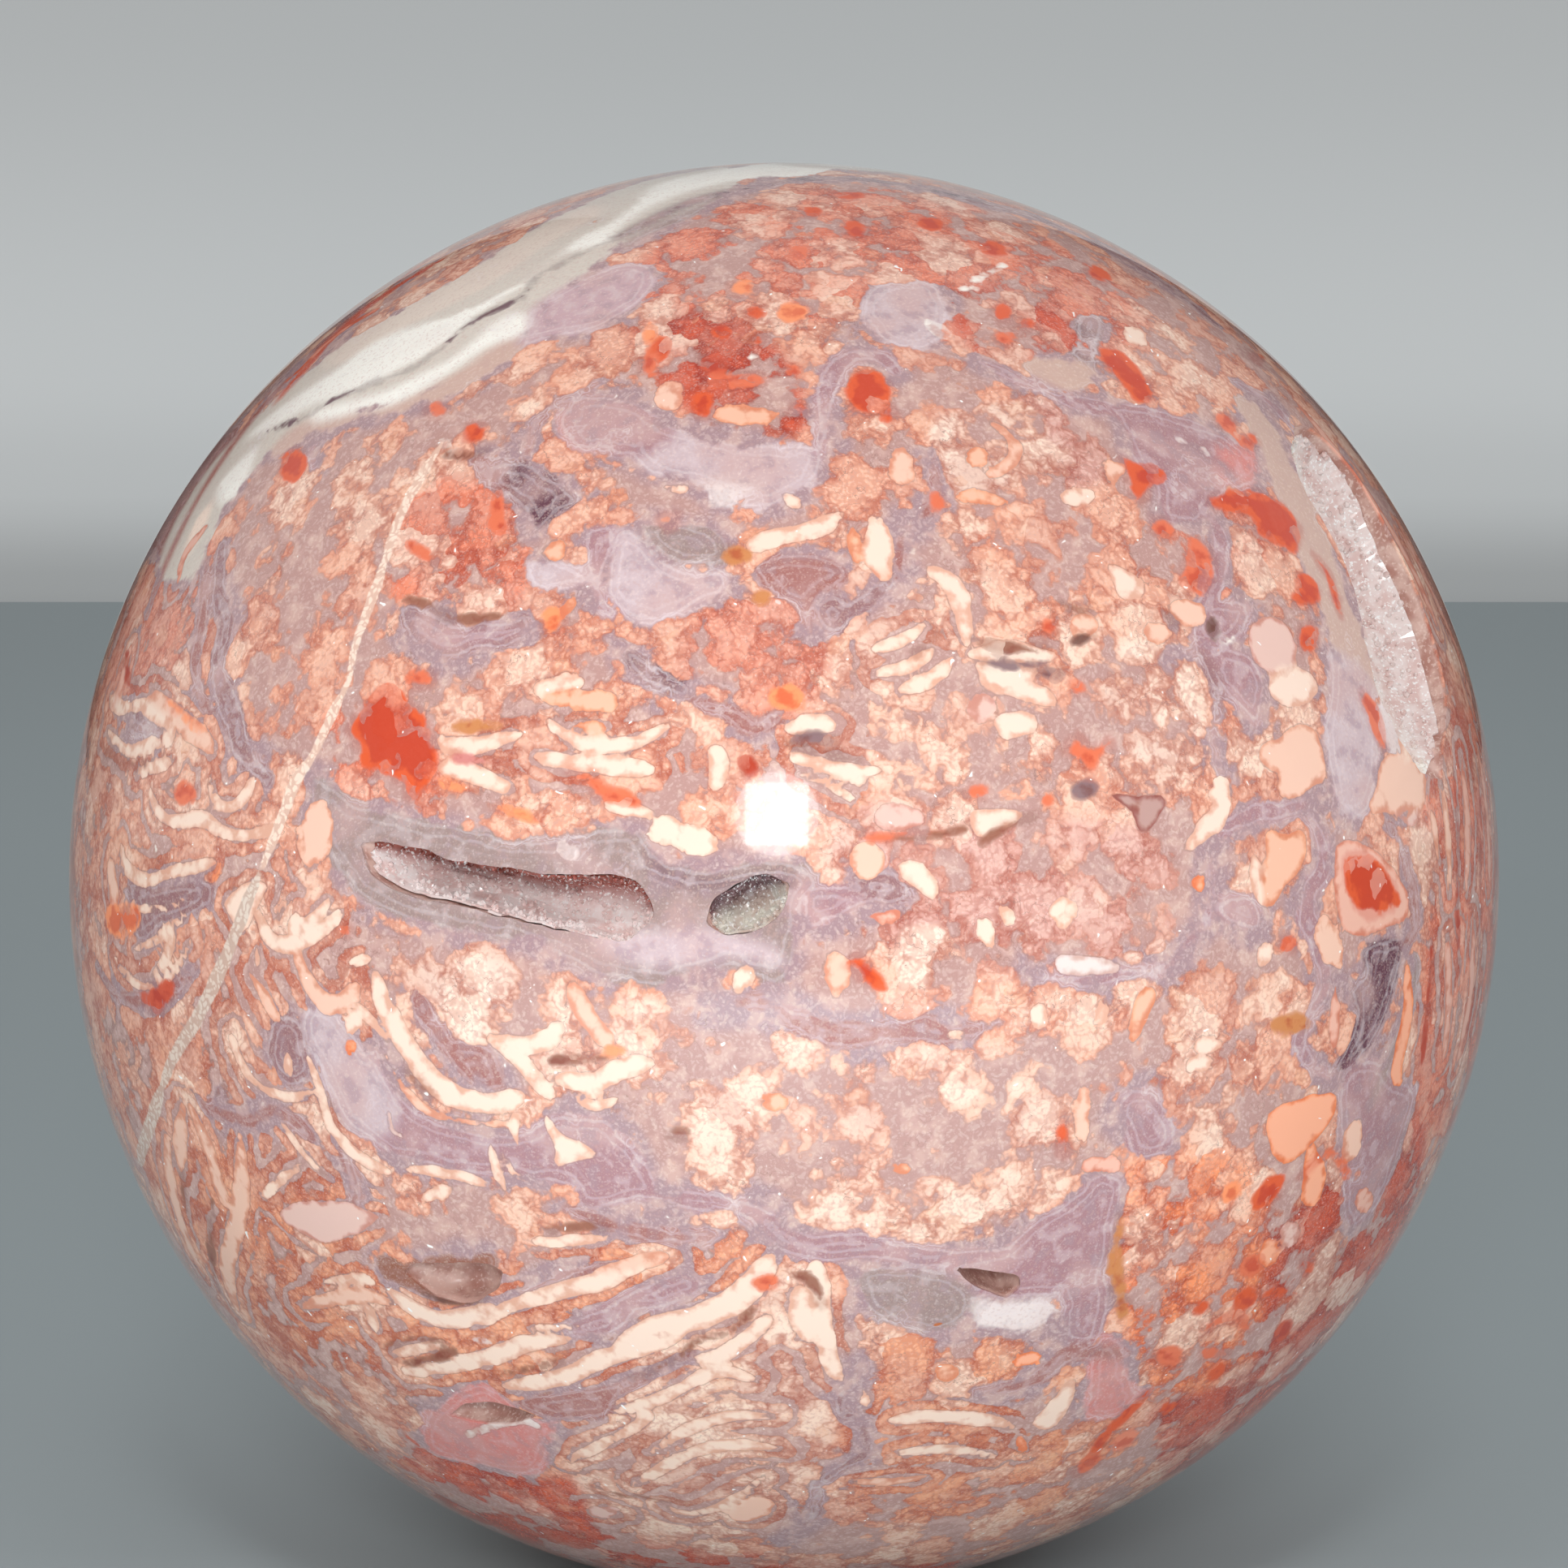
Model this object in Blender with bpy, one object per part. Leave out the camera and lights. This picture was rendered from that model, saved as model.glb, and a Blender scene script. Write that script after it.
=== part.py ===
"""A polished sphere of flower agate, ground with a small flat spot to rest on.

The stone is one solid. Open pockets break its surface, and three of them are lined with a
crust of small quartz crystals. The front of the stone faces -Y, and it rests on z = 0.
"""

import math

import bmesh
import bpy
from mathutils import Vector

MM = 0.001

# The ground sphere
DIAMETER = 70 * MM
FOOT_DIAMETER = 13 * MM
SEGMENTS = 72
RING_STEP_DEG = 5

# Pockets: how much wider than its mouth a pocket is inside, how far its cutter stands out of
# the stone, and the points around the cutter
BELLY = 0.5
NARROWEST = 0.1 * MM
CUTTER_RISE = 1.2 * MM
CUTTER_POINTS = 12

# Crystal crusts: the points of quartz stand out of the crust by a share of their facets' edge
CRUST_GAP = 0.3 * MM
CRUST_THICKNESS = 0.4 * MM
CRUST_RIM_DEPTH = 0.45 * MM
CRUST_INNER_FACES = 8
CRYSTAL_HEIGHT = 0.7

# Finish
STONE_ROUGHNESS = 0.08
CRYSTAL_ROUGHNESS = 0.2
SHARP_ANGLE = math.radians(25)

STONE_COLOUR = (0.78, 0.47, 0.38)
CRYSTAL_COLOUR = (0.66, 0.55, 0.57)

RADIUS = DIAMETER / 2
FOOT_LATITUDE = -math.degrees(math.acos(FOOT_DIAMETER / DIAMETER))
CENTRE = Vector((0, 0, -RADIUS * math.sin(math.radians(FOOT_LATITUDE))))

# A pocket is a path over the stone of stations: longitude and latitude in degrees, half width
# and depth in millimetres. Longitude 0 is the front and grows to the right, and latitude 0 is
# the sphere's own middle. The first and last stations are its pointed ends. Lean moves the
# deepest line towards the left of the path, as a share of the half width.
LONG_VUG = [
    # lon, lat, half width, depth, lean
    (-33.4, 12.5, 0.0, 0.0, 0.0),
    (-31.8, 11.7, 0.75, 1.5, 0.35),
    (-29.8, 11.1, 1.0, 2.6, 0.4),
    (-27.2, 10.7, 1.05, 3.2, 0.4),
    (-24.6, 10.4, 1.0, 3.4, 0.35),
    (-22.0, 10.2, 1.05, 3.5, 0.25),
    (-19.4, 9.9, 1.1, 3.5, 0.05),
    (-16.9, 9.7, 1.15, 3.4, -0.1),
    (-14.4, 9.7, 1.3, 3.2, -0.3),
    (-12.4, 9.6, 1.4, 2.8, -0.35),
    (-10.7, 9.3, 1.15, 2.0, -0.35),
    (-9.4, 9.1, 0.0, 0.0, 0.0),
]
SMALL_VUG = [
    (-5.6, 8.6, 0.0, 0.0, 0.0),
    (-4.7, 9.0, 0.8, 1.3, 0.0),
    (-3.4, 9.5, 1.0, 2.1, 0.0),
    (-2.0, 10.2, 1.05, 2.3, 0.1),
    (-0.7, 10.9, 0.85, 1.6, 0.1),
    (0.4, 11.5, 0.0, 0.0, 0.0),
]
SIDE_VUG = [
    (69.6, 42.8, 0.0, 0.0, 0.0),
    (69.4, 40.8, 2.4, 1.5, -0.1),
    (68.8, 38.0, 3.5, 2.5, -0.2),
    (68.0, 35.2, 3.7, 3.1, -0.25),
    (67.4, 32.2, 3.6, 3.4, -0.25),
    (67.0, 29.2, 3.7, 3.5, -0.25),
    (66.0, 26.2, 3.8, 3.4, -0.25),
    (64.8, 23.2, 3.9, 3.2, -0.25),
    (63.6, 20.2, 3.8, 2.8, -0.2),
    (63.2, 17.4, 3.0, 2.2, -0.1),
    (63.4, 14.9, 1.8, 1.2, 0.0),
    (64.2, 12.9, 0.0, 0.0, 0.0),
]
CRESCENT_POCKET = [
    (-31.6, -20.6, 0.0, 0.0, 0.0),
    (-30.3, -20.7, 0.6, 0.9, -0.3),
    (-28.5, -20.9, 1.0, 1.7, -0.5),
    (-26.5, -20.8, 1.1, 2.0, -0.5),
    (-24.6, -20.2, 0.9, 1.6, -0.5),
    (-23.2, -19.6, 0.55, 0.8, -0.3),
    (-22.4, -19.3, 0.0, 0.0, 0.0),
]
SLIT_POCKET = [
    (13.4, -18.2, 0.0, 0.0, 0.0),
    (14.3, -18.7, 0.3, 1.0, 0.2),
    (15.6, -19.3, 0.5, 1.9, 0.2),
    (17.0, -19.8, 0.6, 2.1, 0.2),
    (18.2, -20.2, 0.6, 1.8, 0.0),
    (18.7, -20.4, 0.0, 0.0, 0.0),
]
LOW_POCKET = [
    (-32.6, -35.4, 0.0, 0.0, 0.0),
    (-31.0, -35.0, 0.4, 0.7, 0.2),
    (-28.6, -34.4, 0.75, 1.3, 0.3),
    (-26.0, -34.0, 0.7, 1.3, 0.3),
    (-24.0, -33.8, 0.35, 0.7, 0.2),
    (-22.8, -33.7, 0.0, 0.0, 0.0),
]


def outward(longitude, latitude):
    """The direction out of the stone at a place on it."""
    lon = math.radians(longitude)
    lat = math.radians(latitude)
    return Vector((math.sin(lon) * math.cos(lat), -math.cos(lon) * math.cos(lat), math.sin(lat)))


def smoothed(stations):
    """The stations with one more halfway between each two, read from a Catmull-Rom curve."""
    fine = []
    last = len(stations) - 1
    for i in range(last):
        before = stations[max(i - 1, 0)]
        after = stations[min(i + 2, last)]
        corners = zip(before, stations[i], stations[i + 1], after)
        fine += [stations[i], tuple((9 * (b + c) - (a + d)) / 16 for a, b, c, d in corners)]
    return fine + [stations[last]]


def frames(stations):
    """For each station, its point on the sphere, the outward and sideways directions, and its
    half width, depth and lean."""
    places = [outward(s[0], s[1]) for s in stations]
    found = []
    for i, (place, station) in enumerate(zip(places, stations)):
        along = places[min(i + 1, len(places) - 1)] - places[max(i - 1, 0)]
        side = place.cross(along).normalized()
        width, depth, lean = station[2] * MM, station[3] * MM, station[4]
        found.append((CENTRE + place * RADIUS, place, side, width, depth, lean))
    return found


def section_point(frame, angle, inset=0.0):
    """A point on a pocket's wall: angle 0 is its left edge, 90 its deepest line, 180 its right
    edge. Inset moves the point in from the wall."""
    point, out, side, width, depth, lean = frame
    fullness = 1 + BELLY * math.sin(angle)
    across = max(width - inset, NARROWEST) * math.cos(angle) * fullness
    down = max(depth - inset, NARROWEST) * math.sin(angle)
    return point + side * (across + lean * width * math.sin(angle)) - out * down


def mesh_object(name, mesh_builder, colour, roughness):
    """Makes an object from a bmesh, with its own material."""
    mesh = bpy.data.meshes.new(name)
    bmesh.ops.recalc_face_normals(mesh_builder, faces=mesh_builder.faces)
    mesh_builder.to_mesh(mesh)
    mesh_builder.free()
    made = bpy.data.objects.new(name, mesh)
    bpy.context.scene.collection.objects.link(made)
    material = bpy.data.materials.new(name)
    material.use_nodes = True
    surface = material.node_tree.nodes["Principled BSDF"]
    surface.inputs["Base Color"].default_value = (*colour, 1)
    surface.inputs["Roughness"].default_value = roughness
    surface.inputs["Metallic"].default_value = 0
    mesh.materials.append(material)
    return made


def skin(builder, rings, first_tip, last_tip):
    """Joins rings of points into one closed surface with a point at each end."""
    loops = [[builder.verts.new(p) for p in ring] for ring in rings]
    start, end = builder.verts.new(first_tip), builder.verts.new(last_tip)
    count = len(loops[0])
    for a, b in zip(loops, loops[1:]):
        for i in range(count):
            j = (i + 1) % count
            builder.faces.new((a[i], a[j], b[j], b[i]))
    for i in range(count):
        j = (i + 1) % count
        builder.faces.new((start, loops[0][j], loops[0][i]))
        builder.faces.new((end, loops[-1][i], loops[-1][j]))


def ground_sphere():
    """The sphere as rings of points, closed by a flat foot below and a pole above."""
    builder = bmesh.new()
    first = RING_STEP_DEG * math.ceil(FOOT_LATITUDE / RING_STEP_DEG)
    latitudes = [FOOT_LATITUDE] + list(range(first, 90, RING_STEP_DEG))
    rings = []
    for latitude in latitudes:
        places = [outward(360 * i / SEGMENTS, latitude) for i in range(SEGMENTS)]
        rings.append([builder.verts.new(CENTRE + p * RADIUS) for p in places])
    pole = builder.verts.new(CENTRE + Vector((0, 0, RADIUS)))
    for low, high in zip(rings, rings[1:]):
        for i in range(SEGMENTS):
            j = (i + 1) % SEGMENTS
            builder.faces.new((low[i], low[j], high[j], high[i]))
    for i in range(SEGMENTS):
        builder.faces.new((rings[-1][i], rings[-1][(i + 1) % SEGMENTS], pole))
    builder.faces.new(list(reversed(rings[0])))
    stone = mesh_object("agate_sphere", builder, STONE_COLOUR, STONE_ROUGHNESS)
    stone.data.shade_smooth()
    stone.data.set_sharp_from_angle(angle=SHARP_ANGLE)
    return stone


def pocket_cutter(name, stations):
    """A closed pod along the pocket's path, standing out of the stone so that it cuts cleanly."""
    places = frames(smoothed(stations))
    rings = []
    for frame in places[1:-1]:
        point, out, side, width, _, _ = frame
        ring = []
        for i in range(CUTTER_POINTS):
            angle = 2 * math.pi * (i + 0.5) / CUTTER_POINTS
            if angle < math.pi:
                ring.append(section_point(frame, angle))
            else:
                rise = CUTTER_RISE * math.sin(angle)
                ring.append(point + side * width * math.cos(angle) - out * rise)
        rings.append(ring)
    builder = bmesh.new()
    skin(builder, rings, places[0][0], places[-1][0])
    cutter = mesh_object(name, builder, STONE_COLOUR, STONE_ROUGHNESS)
    cutter.hide_render = True
    cutter.display_type = "WIRE"
    return cutter


def cut(stone, cutter):
    """Takes a pocket out of the stone."""
    modifier = stone.modifiers.new(cutter.name, "BOOLEAN")
    modifier.operation = "DIFFERENCE"
    modifier.solver = "EXACT"
    modifier.object = cutter


def crystal_crust(name, stations):
    """A lining that follows the pocket's wall just under the polished surface, with a
    low pyramid of quartz on each face of its inner side."""
    outer, inner = CRUST_GAP, CRUST_GAP + CRUST_THICKNESS
    steps = CRUST_INNER_FACES
    builder = bmesh.new()
    loops = []
    deep_enough = CRUST_RIM_DEPTH + inner
    places = [f for f in frames(smoothed(stations)) if f[3] > inner and f[4] > deep_enough]
    for frame in places:
        rim = math.asin(CRUST_RIM_DEPTH / (frame[4] - outer))
        angles = [rim + (math.pi - 2 * rim) * i / steps for i in range(steps + 1)]
        wall = [section_point(frame, a, outer) for a in angles]
        face = [section_point(frame, a, inner) for a in reversed(angles)]
        loops.append([builder.verts.new(p) for p in wall + face])
    count = len(loops[0])
    quartz = []
    for a, b in zip(loops, loops[1:]):
        for i in range(count):
            j = (i + 1) % count
            made = builder.faces.new((a[i], a[j], b[j], b[i]))
            if steps < i < count - 1:
                quartz.append(made)
    for loop in (loops[0], loops[-1]):
        for i in range(steps):
            builder.faces.new((loop[i], loop[i + 1], loop[count - 2 - i], loop[count - 1 - i]))
    bmesh.ops.recalc_face_normals(builder, faces=builder.faces)
    peaks = bmesh.ops.poke(builder, faces=quartz)["verts"]
    for peak in peaks:
        peak.normal_update()
        nearest = min(edge.calc_length() for edge in peak.link_edges)
        peak.co += peak.normal * nearest * CRYSTAL_HEIGHT
    return mesh_object(name, builder, CRYSTAL_COLOUR, CRYSTAL_ROUGHNESS)


def build():
    for old in list(bpy.data.objects):
        bpy.data.objects.remove(old)
    stone = ground_sphere()
    pockets = {
        "long_vug": LONG_VUG,
        "small_vug": SMALL_VUG,
        "side_vug": SIDE_VUG,
        "crescent_pocket": CRESCENT_POCKET,
        "slit_pocket": SLIT_POCKET,
        "low_pocket": LOW_POCKET,
    }
    for name, stations in pockets.items():
        cut(stone, pocket_cutter(name + "_cutter", stations))
    for name in ("long_vug", "small_vug", "side_vug"):
        crystal_crust(name + "_crystals", pockets[name])


build()
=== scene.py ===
"""A polished ball of flower agate: the looks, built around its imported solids."""

import math
import random

import bmesh
import bpy
import numpy as np
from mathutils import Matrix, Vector, noise


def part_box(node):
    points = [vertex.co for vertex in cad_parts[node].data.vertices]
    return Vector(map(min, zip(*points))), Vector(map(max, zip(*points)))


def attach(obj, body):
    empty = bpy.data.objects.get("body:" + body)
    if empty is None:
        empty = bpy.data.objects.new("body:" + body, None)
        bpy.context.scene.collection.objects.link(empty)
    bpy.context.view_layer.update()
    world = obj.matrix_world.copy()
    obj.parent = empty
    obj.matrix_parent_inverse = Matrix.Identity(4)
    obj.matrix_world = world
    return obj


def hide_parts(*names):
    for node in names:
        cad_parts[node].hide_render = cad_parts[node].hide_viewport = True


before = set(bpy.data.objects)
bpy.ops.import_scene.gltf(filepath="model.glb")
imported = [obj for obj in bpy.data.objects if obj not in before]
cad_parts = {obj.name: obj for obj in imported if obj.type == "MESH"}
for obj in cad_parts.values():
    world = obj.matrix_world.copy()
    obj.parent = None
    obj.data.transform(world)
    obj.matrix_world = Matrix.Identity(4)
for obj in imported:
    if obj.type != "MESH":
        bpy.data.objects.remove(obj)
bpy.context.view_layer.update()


# The photographer's eye. The ball fills the square frame from 0.3 m away, seen from a little
# above its middle, and sits low in the frame.

MM = 0.001

low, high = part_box("agate_sphere")
RADIUS = (high.x - low.x) / 2
CENTRE = Vector((0, 0, high.z - RADIUS))

PHOTO_SIDE = 1932
PHOTO_FOCAL = 7500
BALL_BELOW_MIDDLE = 114
VIEW_DISTANCE = 300 * MM
VIEW_ELEVATION = math.radians(12)
SENSOR = 36

toward_camera = Vector((0, -math.cos(VIEW_ELEVATION), math.sin(VIEW_ELEVATION)))
camera_rise = math.atan(BALL_BELOW_MIDDLE / PHOTO_FOCAL)
camera_tilt = VIEW_ELEVATION - camera_rise
camera_back = Vector((0, -math.cos(camera_tilt), math.sin(camera_tilt)))
camera_up = Vector((0, math.sin(camera_tilt), math.cos(camera_tilt)))
camera_place = CENTRE + toward_camera * VIEW_DISTANCE

camera = bpy.data.cameras.new("photo_camera")
camera.sensor_width = SENSOR
camera.lens = SENSOR * PHOTO_FOCAL / PHOTO_SIDE
camera.clip_start = 0.01
camera_object = bpy.data.objects.new("photo_camera", camera)
camera_object.location = camera_place
camera_object.rotation_euler = (math.radians(90) - camera_tilt, 0, 0)
bpy.context.scene.collection.objects.link(camera_object)
bpy.context.scene.camera = camera_object
bpy.context.scene.view_settings.view_transform = "Standard"


def on_stone(x, y):
    """The place on the ball, in millimetres from its middle, that the photograph shows at a
    pixel. Just past the outline it gives the outline's nearest place."""
    half = PHOTO_SIDE / 2
    ray = Vector(((x - half) / PHOTO_FOCAL, 0, 0)) + camera_up * (half - y) / PHOTO_FOCAL - camera_back
    ray.normalize()
    start = toward_camera * VIEW_DISTANCE
    near = start.dot(ray)
    inside = max(near * near - start.dot(start) + RADIUS * RADIUS, 0)
    return (start + ray * (-near - math.sqrt(inside))).normalized() * RADIUS / MM


# The stone: one lump of agate ground to a ball and polished, with a small flat ground under it.
# Its surface is a net of points that is finest towards the front, where the markings are finest.

NET_SIDE = 118
FRONT_DETAIL = 1.9


def put(tree, kind, inputs=(), **settings):
    """Adds a node. Inputs gives a socket, by name or number, a value or another node's output."""
    made = tree.nodes.new(kind)
    for name, value in settings.items():
        setattr(made, name, value)
    for socket, value in dict(inputs).items():
        if isinstance(value, bpy.types.NodeSocket):
            tree.links.new(value, made.inputs[socket])
        else:
            made.inputs[socket].default_value = value
    return made


def reckon(tree, operation, *values, clamp=False):
    """A Math node's output."""
    return put(tree, "ShaderNodeMath", enumerate(values), operation=operation, use_clamp=clamp).outputs[0]


def aim(tree, operation, *values):
    """A Vector Math node's vector."""
    return put(tree, "ShaderNodeVectorMath", enumerate(values), operation=operation).outputs[0]


def stretched(tree, vector, factor):
    """A vector times a number."""
    made = put(tree, "ShaderNodeVectorMath", {0: vector, 3: factor}, operation="SCALE")
    return made.outputs[0]


def new_shape_tree(name, sizes):
    """An empty Geometry Nodes tree with a geometry in and out, and named sizes to set."""
    tree = bpy.data.node_groups.new(name, "GeometryNodeTree")
    tree.interface.new_socket("Geometry", in_out="INPUT", socket_type="NodeSocketGeometry")
    tree.interface.new_socket("Geometry", in_out="OUTPUT", socket_type="NodeSocketGeometry")
    for label, kind in sizes.items():
        tree.interface.new_socket(label, in_out="INPUT", socket_type=kind)
    return tree, tree.nodes.new("NodeGroupInput"), tree.nodes.new("NodeGroupOutput")


def shaped_by(start_mesh, tree, sizes, name):
    """Runs a shape tree on a mesh and gives the plain mesh that comes out."""
    maker = bpy.data.objects.new(name + "_maker", start_mesh)
    bpy.context.scene.collection.objects.link(maker)
    modifier = maker.modifiers.new("shape", "NODES")
    modifier.node_group = tree
    for item in tree.interface.items_tree:
        if item.in_out == "INPUT" and item.name in sizes:
            modifier[item.identifier] = sizes[item.name]
    shown = maker.evaluated_get(bpy.context.evaluated_depsgraph_get())
    mesh = bpy.data.meshes.new_from_object(shown)
    mesh.name = name
    bpy.data.objects.remove(maker)
    return mesh


def ball_tree():
    """A cube's grid blown up to a ball, then drawn together towards the front without skew."""
    sizes = {
        "Radius": "NodeSocketFloat",
        "Centre": "NodeSocketVector",
        "Front": "NodeSocketVector",
        "Front Detail": "NodeSocketFloat",
        "Net Side": "NodeSocketInt",
    }
    tree, given, result = new_shape_tree("ground_ball", sizes)
    side = given.outputs["Net Side"]
    sides = {"Size": (2, 2, 2), "Vertices X": side, "Vertices Y": side, "Vertices Z": side}
    cube = put(tree, "GeometryNodeMeshCube", sides)
    place = tree.nodes.new("GeometryNodeInputPosition").outputs[0]
    even = aim(tree, "TANGENT", stretched(tree, place, math.pi / 4))
    ball = aim(tree, "NORMALIZE", even)
    front = given.outputs["Front"]
    facing = put(tree, "ShaderNodeVectorMath", {0: ball, 1: front}, operation="DOT_PRODUCT").outputs["Value"]
    detail = given.outputs["Front Detail"]
    detail_squared = reckon(tree, "MULTIPLY", detail, detail)
    ahead = reckon(tree, "MULTIPLY", detail_squared, reckon(tree, "ADD", facing, 1.0))
    behind = reckon(tree, "SUBTRACT", 1.0, facing)
    across = aim(tree, "SUBTRACT", ball, stretched(tree, front, facing))
    across = stretched(tree, across, reckon(tree, "MULTIPLY", detail, 2.0))
    along = stretched(tree, front, reckon(tree, "SUBTRACT", ahead, behind))
    drawn = stretched(
        tree, aim(tree, "ADD", across, along), reckon(tree, "DIVIDE", 1.0, reckon(tree, "ADD", ahead, behind))
    )
    sized = stretched(tree, aim(tree, "NORMALIZE", drawn), given.outputs["Radius"])
    placed = aim(tree, "ADD", sized, given.outputs["Centre"])
    moved = put(tree, "GeometryNodeSetPosition", {"Geometry": cube.outputs["Mesh"], "Position": placed})
    real = put(tree, "GeometryNodeRealizeInstances", {"Geometry": moved.outputs[0]})
    finished = put(tree, "GeometryNodeSetMaterial", {"Geometry": real.outputs[0]})
    tree.links.new(finished.outputs[0], result.inputs[0])
    return tree


ball_mesh = shaped_by(
    bpy.data.meshes.new("ball_seed"),
    ball_tree(),
    {
        "Radius": RADIUS,
        "Centre": CENTRE,
        "Front": toward_camera,
        "Front Detail": FRONT_DETAIL,
        "Net Side": NET_SIDE,
    },
    "polished_stone",
)


# The open pockets. Each is a pod along a path of stations, wider inside than at its mouth, with
# the rough wall of a natural cavity. They are the pockets of the solid stone, cut finer.

BELLY = 0.5
NARROWEST = 0.1
MOUTH_RISE = 1.2
POD_POINTS = 28
POD_SMOOTHINGS = 3
ROUGH_WALL = 0.13
ROUGH_WALL_SIZE = 1.1
FINE_WALL = 0.05
FINE_WALL_SIZE = 0.35

# longitude and latitude in degrees, half width and depth in millimetres, lean of the bottom
LONG_VUG = [
    (-33.4, 12.5, 0.0, 0.0, 0.0),
    (-31.8, 11.7, 0.75, 1.5, 0.35),
    (-29.8, 11.1, 1.0, 2.6, 0.4),
    (-27.2, 10.7, 1.05, 3.2, 0.4),
    (-24.6, 10.4, 1.0, 3.4, 0.35),
    (-22.0, 10.2, 1.05, 3.5, 0.25),
    (-19.4, 9.9, 1.1, 3.5, 0.05),
    (-16.9, 9.7, 1.15, 3.4, -0.1),
    (-14.4, 9.7, 1.3, 3.2, -0.3),
    (-12.4, 9.6, 1.4, 2.8, -0.35),
    (-10.7, 9.3, 1.15, 2.0, -0.35),
    (-9.4, 9.1, 0.0, 0.0, 0.0),
]
SMALL_VUG = [
    (-5.6, 8.6, 0.0, 0.0, 0.0),
    (-4.7, 9.0, 0.8, 1.3, 0.0),
    (-3.4, 9.5, 1.0, 2.1, 0.0),
    (-2.0, 10.2, 1.05, 2.3, 0.1),
    (-0.7, 10.9, 0.85, 1.6, 0.1),
    (0.4, 11.5, 0.0, 0.0, 0.0),
]
SIDE_VUG = [
    (69.6, 42.8, 0.0, 0.0, 0.0),
    (69.4, 40.8, 2.4, 1.5, -0.1),
    (68.8, 38.0, 3.5, 2.5, -0.2),
    (68.0, 35.2, 3.7, 3.1, -0.25),
    (67.4, 32.2, 3.6, 3.4, -0.25),
    (67.0, 29.2, 3.7, 3.5, -0.25),
    (66.0, 26.2, 3.8, 3.4, -0.25),
    (64.8, 23.2, 3.9, 3.2, -0.25),
    (63.6, 20.2, 3.8, 2.8, -0.2),
    (63.2, 17.4, 3.0, 2.2, -0.1),
    (63.4, 14.9, 1.8, 1.2, 0.0),
    (64.2, 12.9, 0.0, 0.0, 0.0),
]
CRESCENT_POCKET = [
    (-31.6, -20.6, 0.0, 0.0, 0.0),
    (-30.3, -20.7, 0.6, 0.9, -0.3),
    (-28.5, -20.9, 1.0, 1.7, -0.5),
    (-26.5, -20.8, 1.1, 2.0, -0.5),
    (-24.6, -20.2, 0.9, 1.6, -0.5),
    (-23.2, -19.6, 0.55, 0.8, -0.3),
    (-22.4, -19.3, 0.0, 0.0, 0.0),
]
SLIT_POCKET = [
    (13.4, -18.2, 0.0, 0.0, 0.0),
    (14.3, -18.7, 0.3, 1.0, 0.2),
    (15.6, -19.3, 0.5, 1.9, 0.2),
    (17.0, -19.8, 0.6, 2.1, 0.2),
    (18.2, -20.2, 0.6, 1.8, 0.0),
    (18.7, -20.4, 0.0, 0.0, 0.0),
]
LOW_POCKET = [
    (-32.6, -35.4, 0.0, 0.0, 0.0),
    (-31.0, -35.0, 0.4, 0.7, 0.2),
    (-28.6, -34.4, 0.75, 1.3, 0.3),
    (-26.0, -34.0, 0.7, 1.3, 0.3),
    (-24.0, -33.8, 0.35, 0.7, 0.2),
    (-22.8, -33.7, 0.0, 0.0, 0.0),
]
POCKETS = [LONG_VUG, SMALL_VUG, SIDE_VUG, CRESCENT_POCKET, SLIT_POCKET, LOW_POCKET]


def outward(longitude, latitude):
    """The direction out of the stone at a longitude and a latitude in degrees."""
    lon = math.radians(longitude)
    lat = math.radians(latitude)
    return Vector((math.sin(lon) * math.cos(lat), -math.cos(lon) * math.cos(lat), math.sin(lat)))


def smoothed(stations):
    """The stations with one more halfway between each two, on a Catmull-Rom curve."""
    fine = []
    last = len(stations) - 1
    for i in range(last):
        corners = zip(stations[max(i - 1, 0)], stations[i], stations[i + 1], stations[min(i + 2, last)])
        fine += [stations[i], tuple((9 * (b + c) - (a + d)) / 16 for a, b, c, d in corners)]
    return fine + [stations[last]]


def pod_rings(stations, inset=0.0):
    """Rings of points round a pocket, in metres, with the share of the way round that each
    point has: the first half lies in the stone and the second half stands out of it."""
    for _ in range(POD_SMOOTHINGS):
        stations = smoothed(stations)
    places = [outward(s[0], s[1]) for s in stations]
    rings = []
    for i, (out, station) in enumerate(zip(places, stations)):
        along = places[min(i + 1, len(places) - 1)] - places[max(i - 1, 0)]
        side = out.cross(along).normalized()
        _, _, width, depth, lean = station
        ring = []
        for k in range(POD_POINTS):
            angle = 2 * math.pi * (k + 0.5) / POD_POINTS
            if angle < math.pi:
                full = 1 + BELLY * math.sin(angle)
                across = max(width - inset, NARROWEST) * math.cos(angle) * full
                across += lean * width * math.sin(angle)
                down = max(depth - inset, NARROWEST) * math.sin(angle)
            else:
                across = max(width, NARROWEST) * math.cos(angle)
                down = MOUTH_RISE * math.sin(angle)
            point = out * RADIUS / MM + side * across - out * down
            wall = min(width, 1.0)
            point += noise.noise_vector(point / ROUGH_WALL_SIZE) * ROUGH_WALL * wall
            point += noise.noise_vector(point / FINE_WALL_SIZE) * FINE_WALL * wall
            ring.append(CENTRE + point * MM)
        rings.append(ring)
    return rings


def close_pod(builder, rings):
    """Skins the rings, with a point at each end."""
    loops = [[builder.verts.new(p) for p in ring] for ring in rings[1:-1]]
    for a, b in zip(loops, loops[1:]):
        for i in range(POD_POINTS):
            j = (i + 1) % POD_POINTS
            builder.faces.new((a[i], a[j], b[j], b[i]))
    for loop, ring in ((loops[0], rings[0]), (loops[-1], rings[-1])):
        tip = builder.verts.new(sum(ring, Vector()) / POD_POINTS)
        for i in range(POD_POINTS):
            builder.faces.new((tip, loop[i], loop[(i + 1) % POD_POINTS]))


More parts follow.
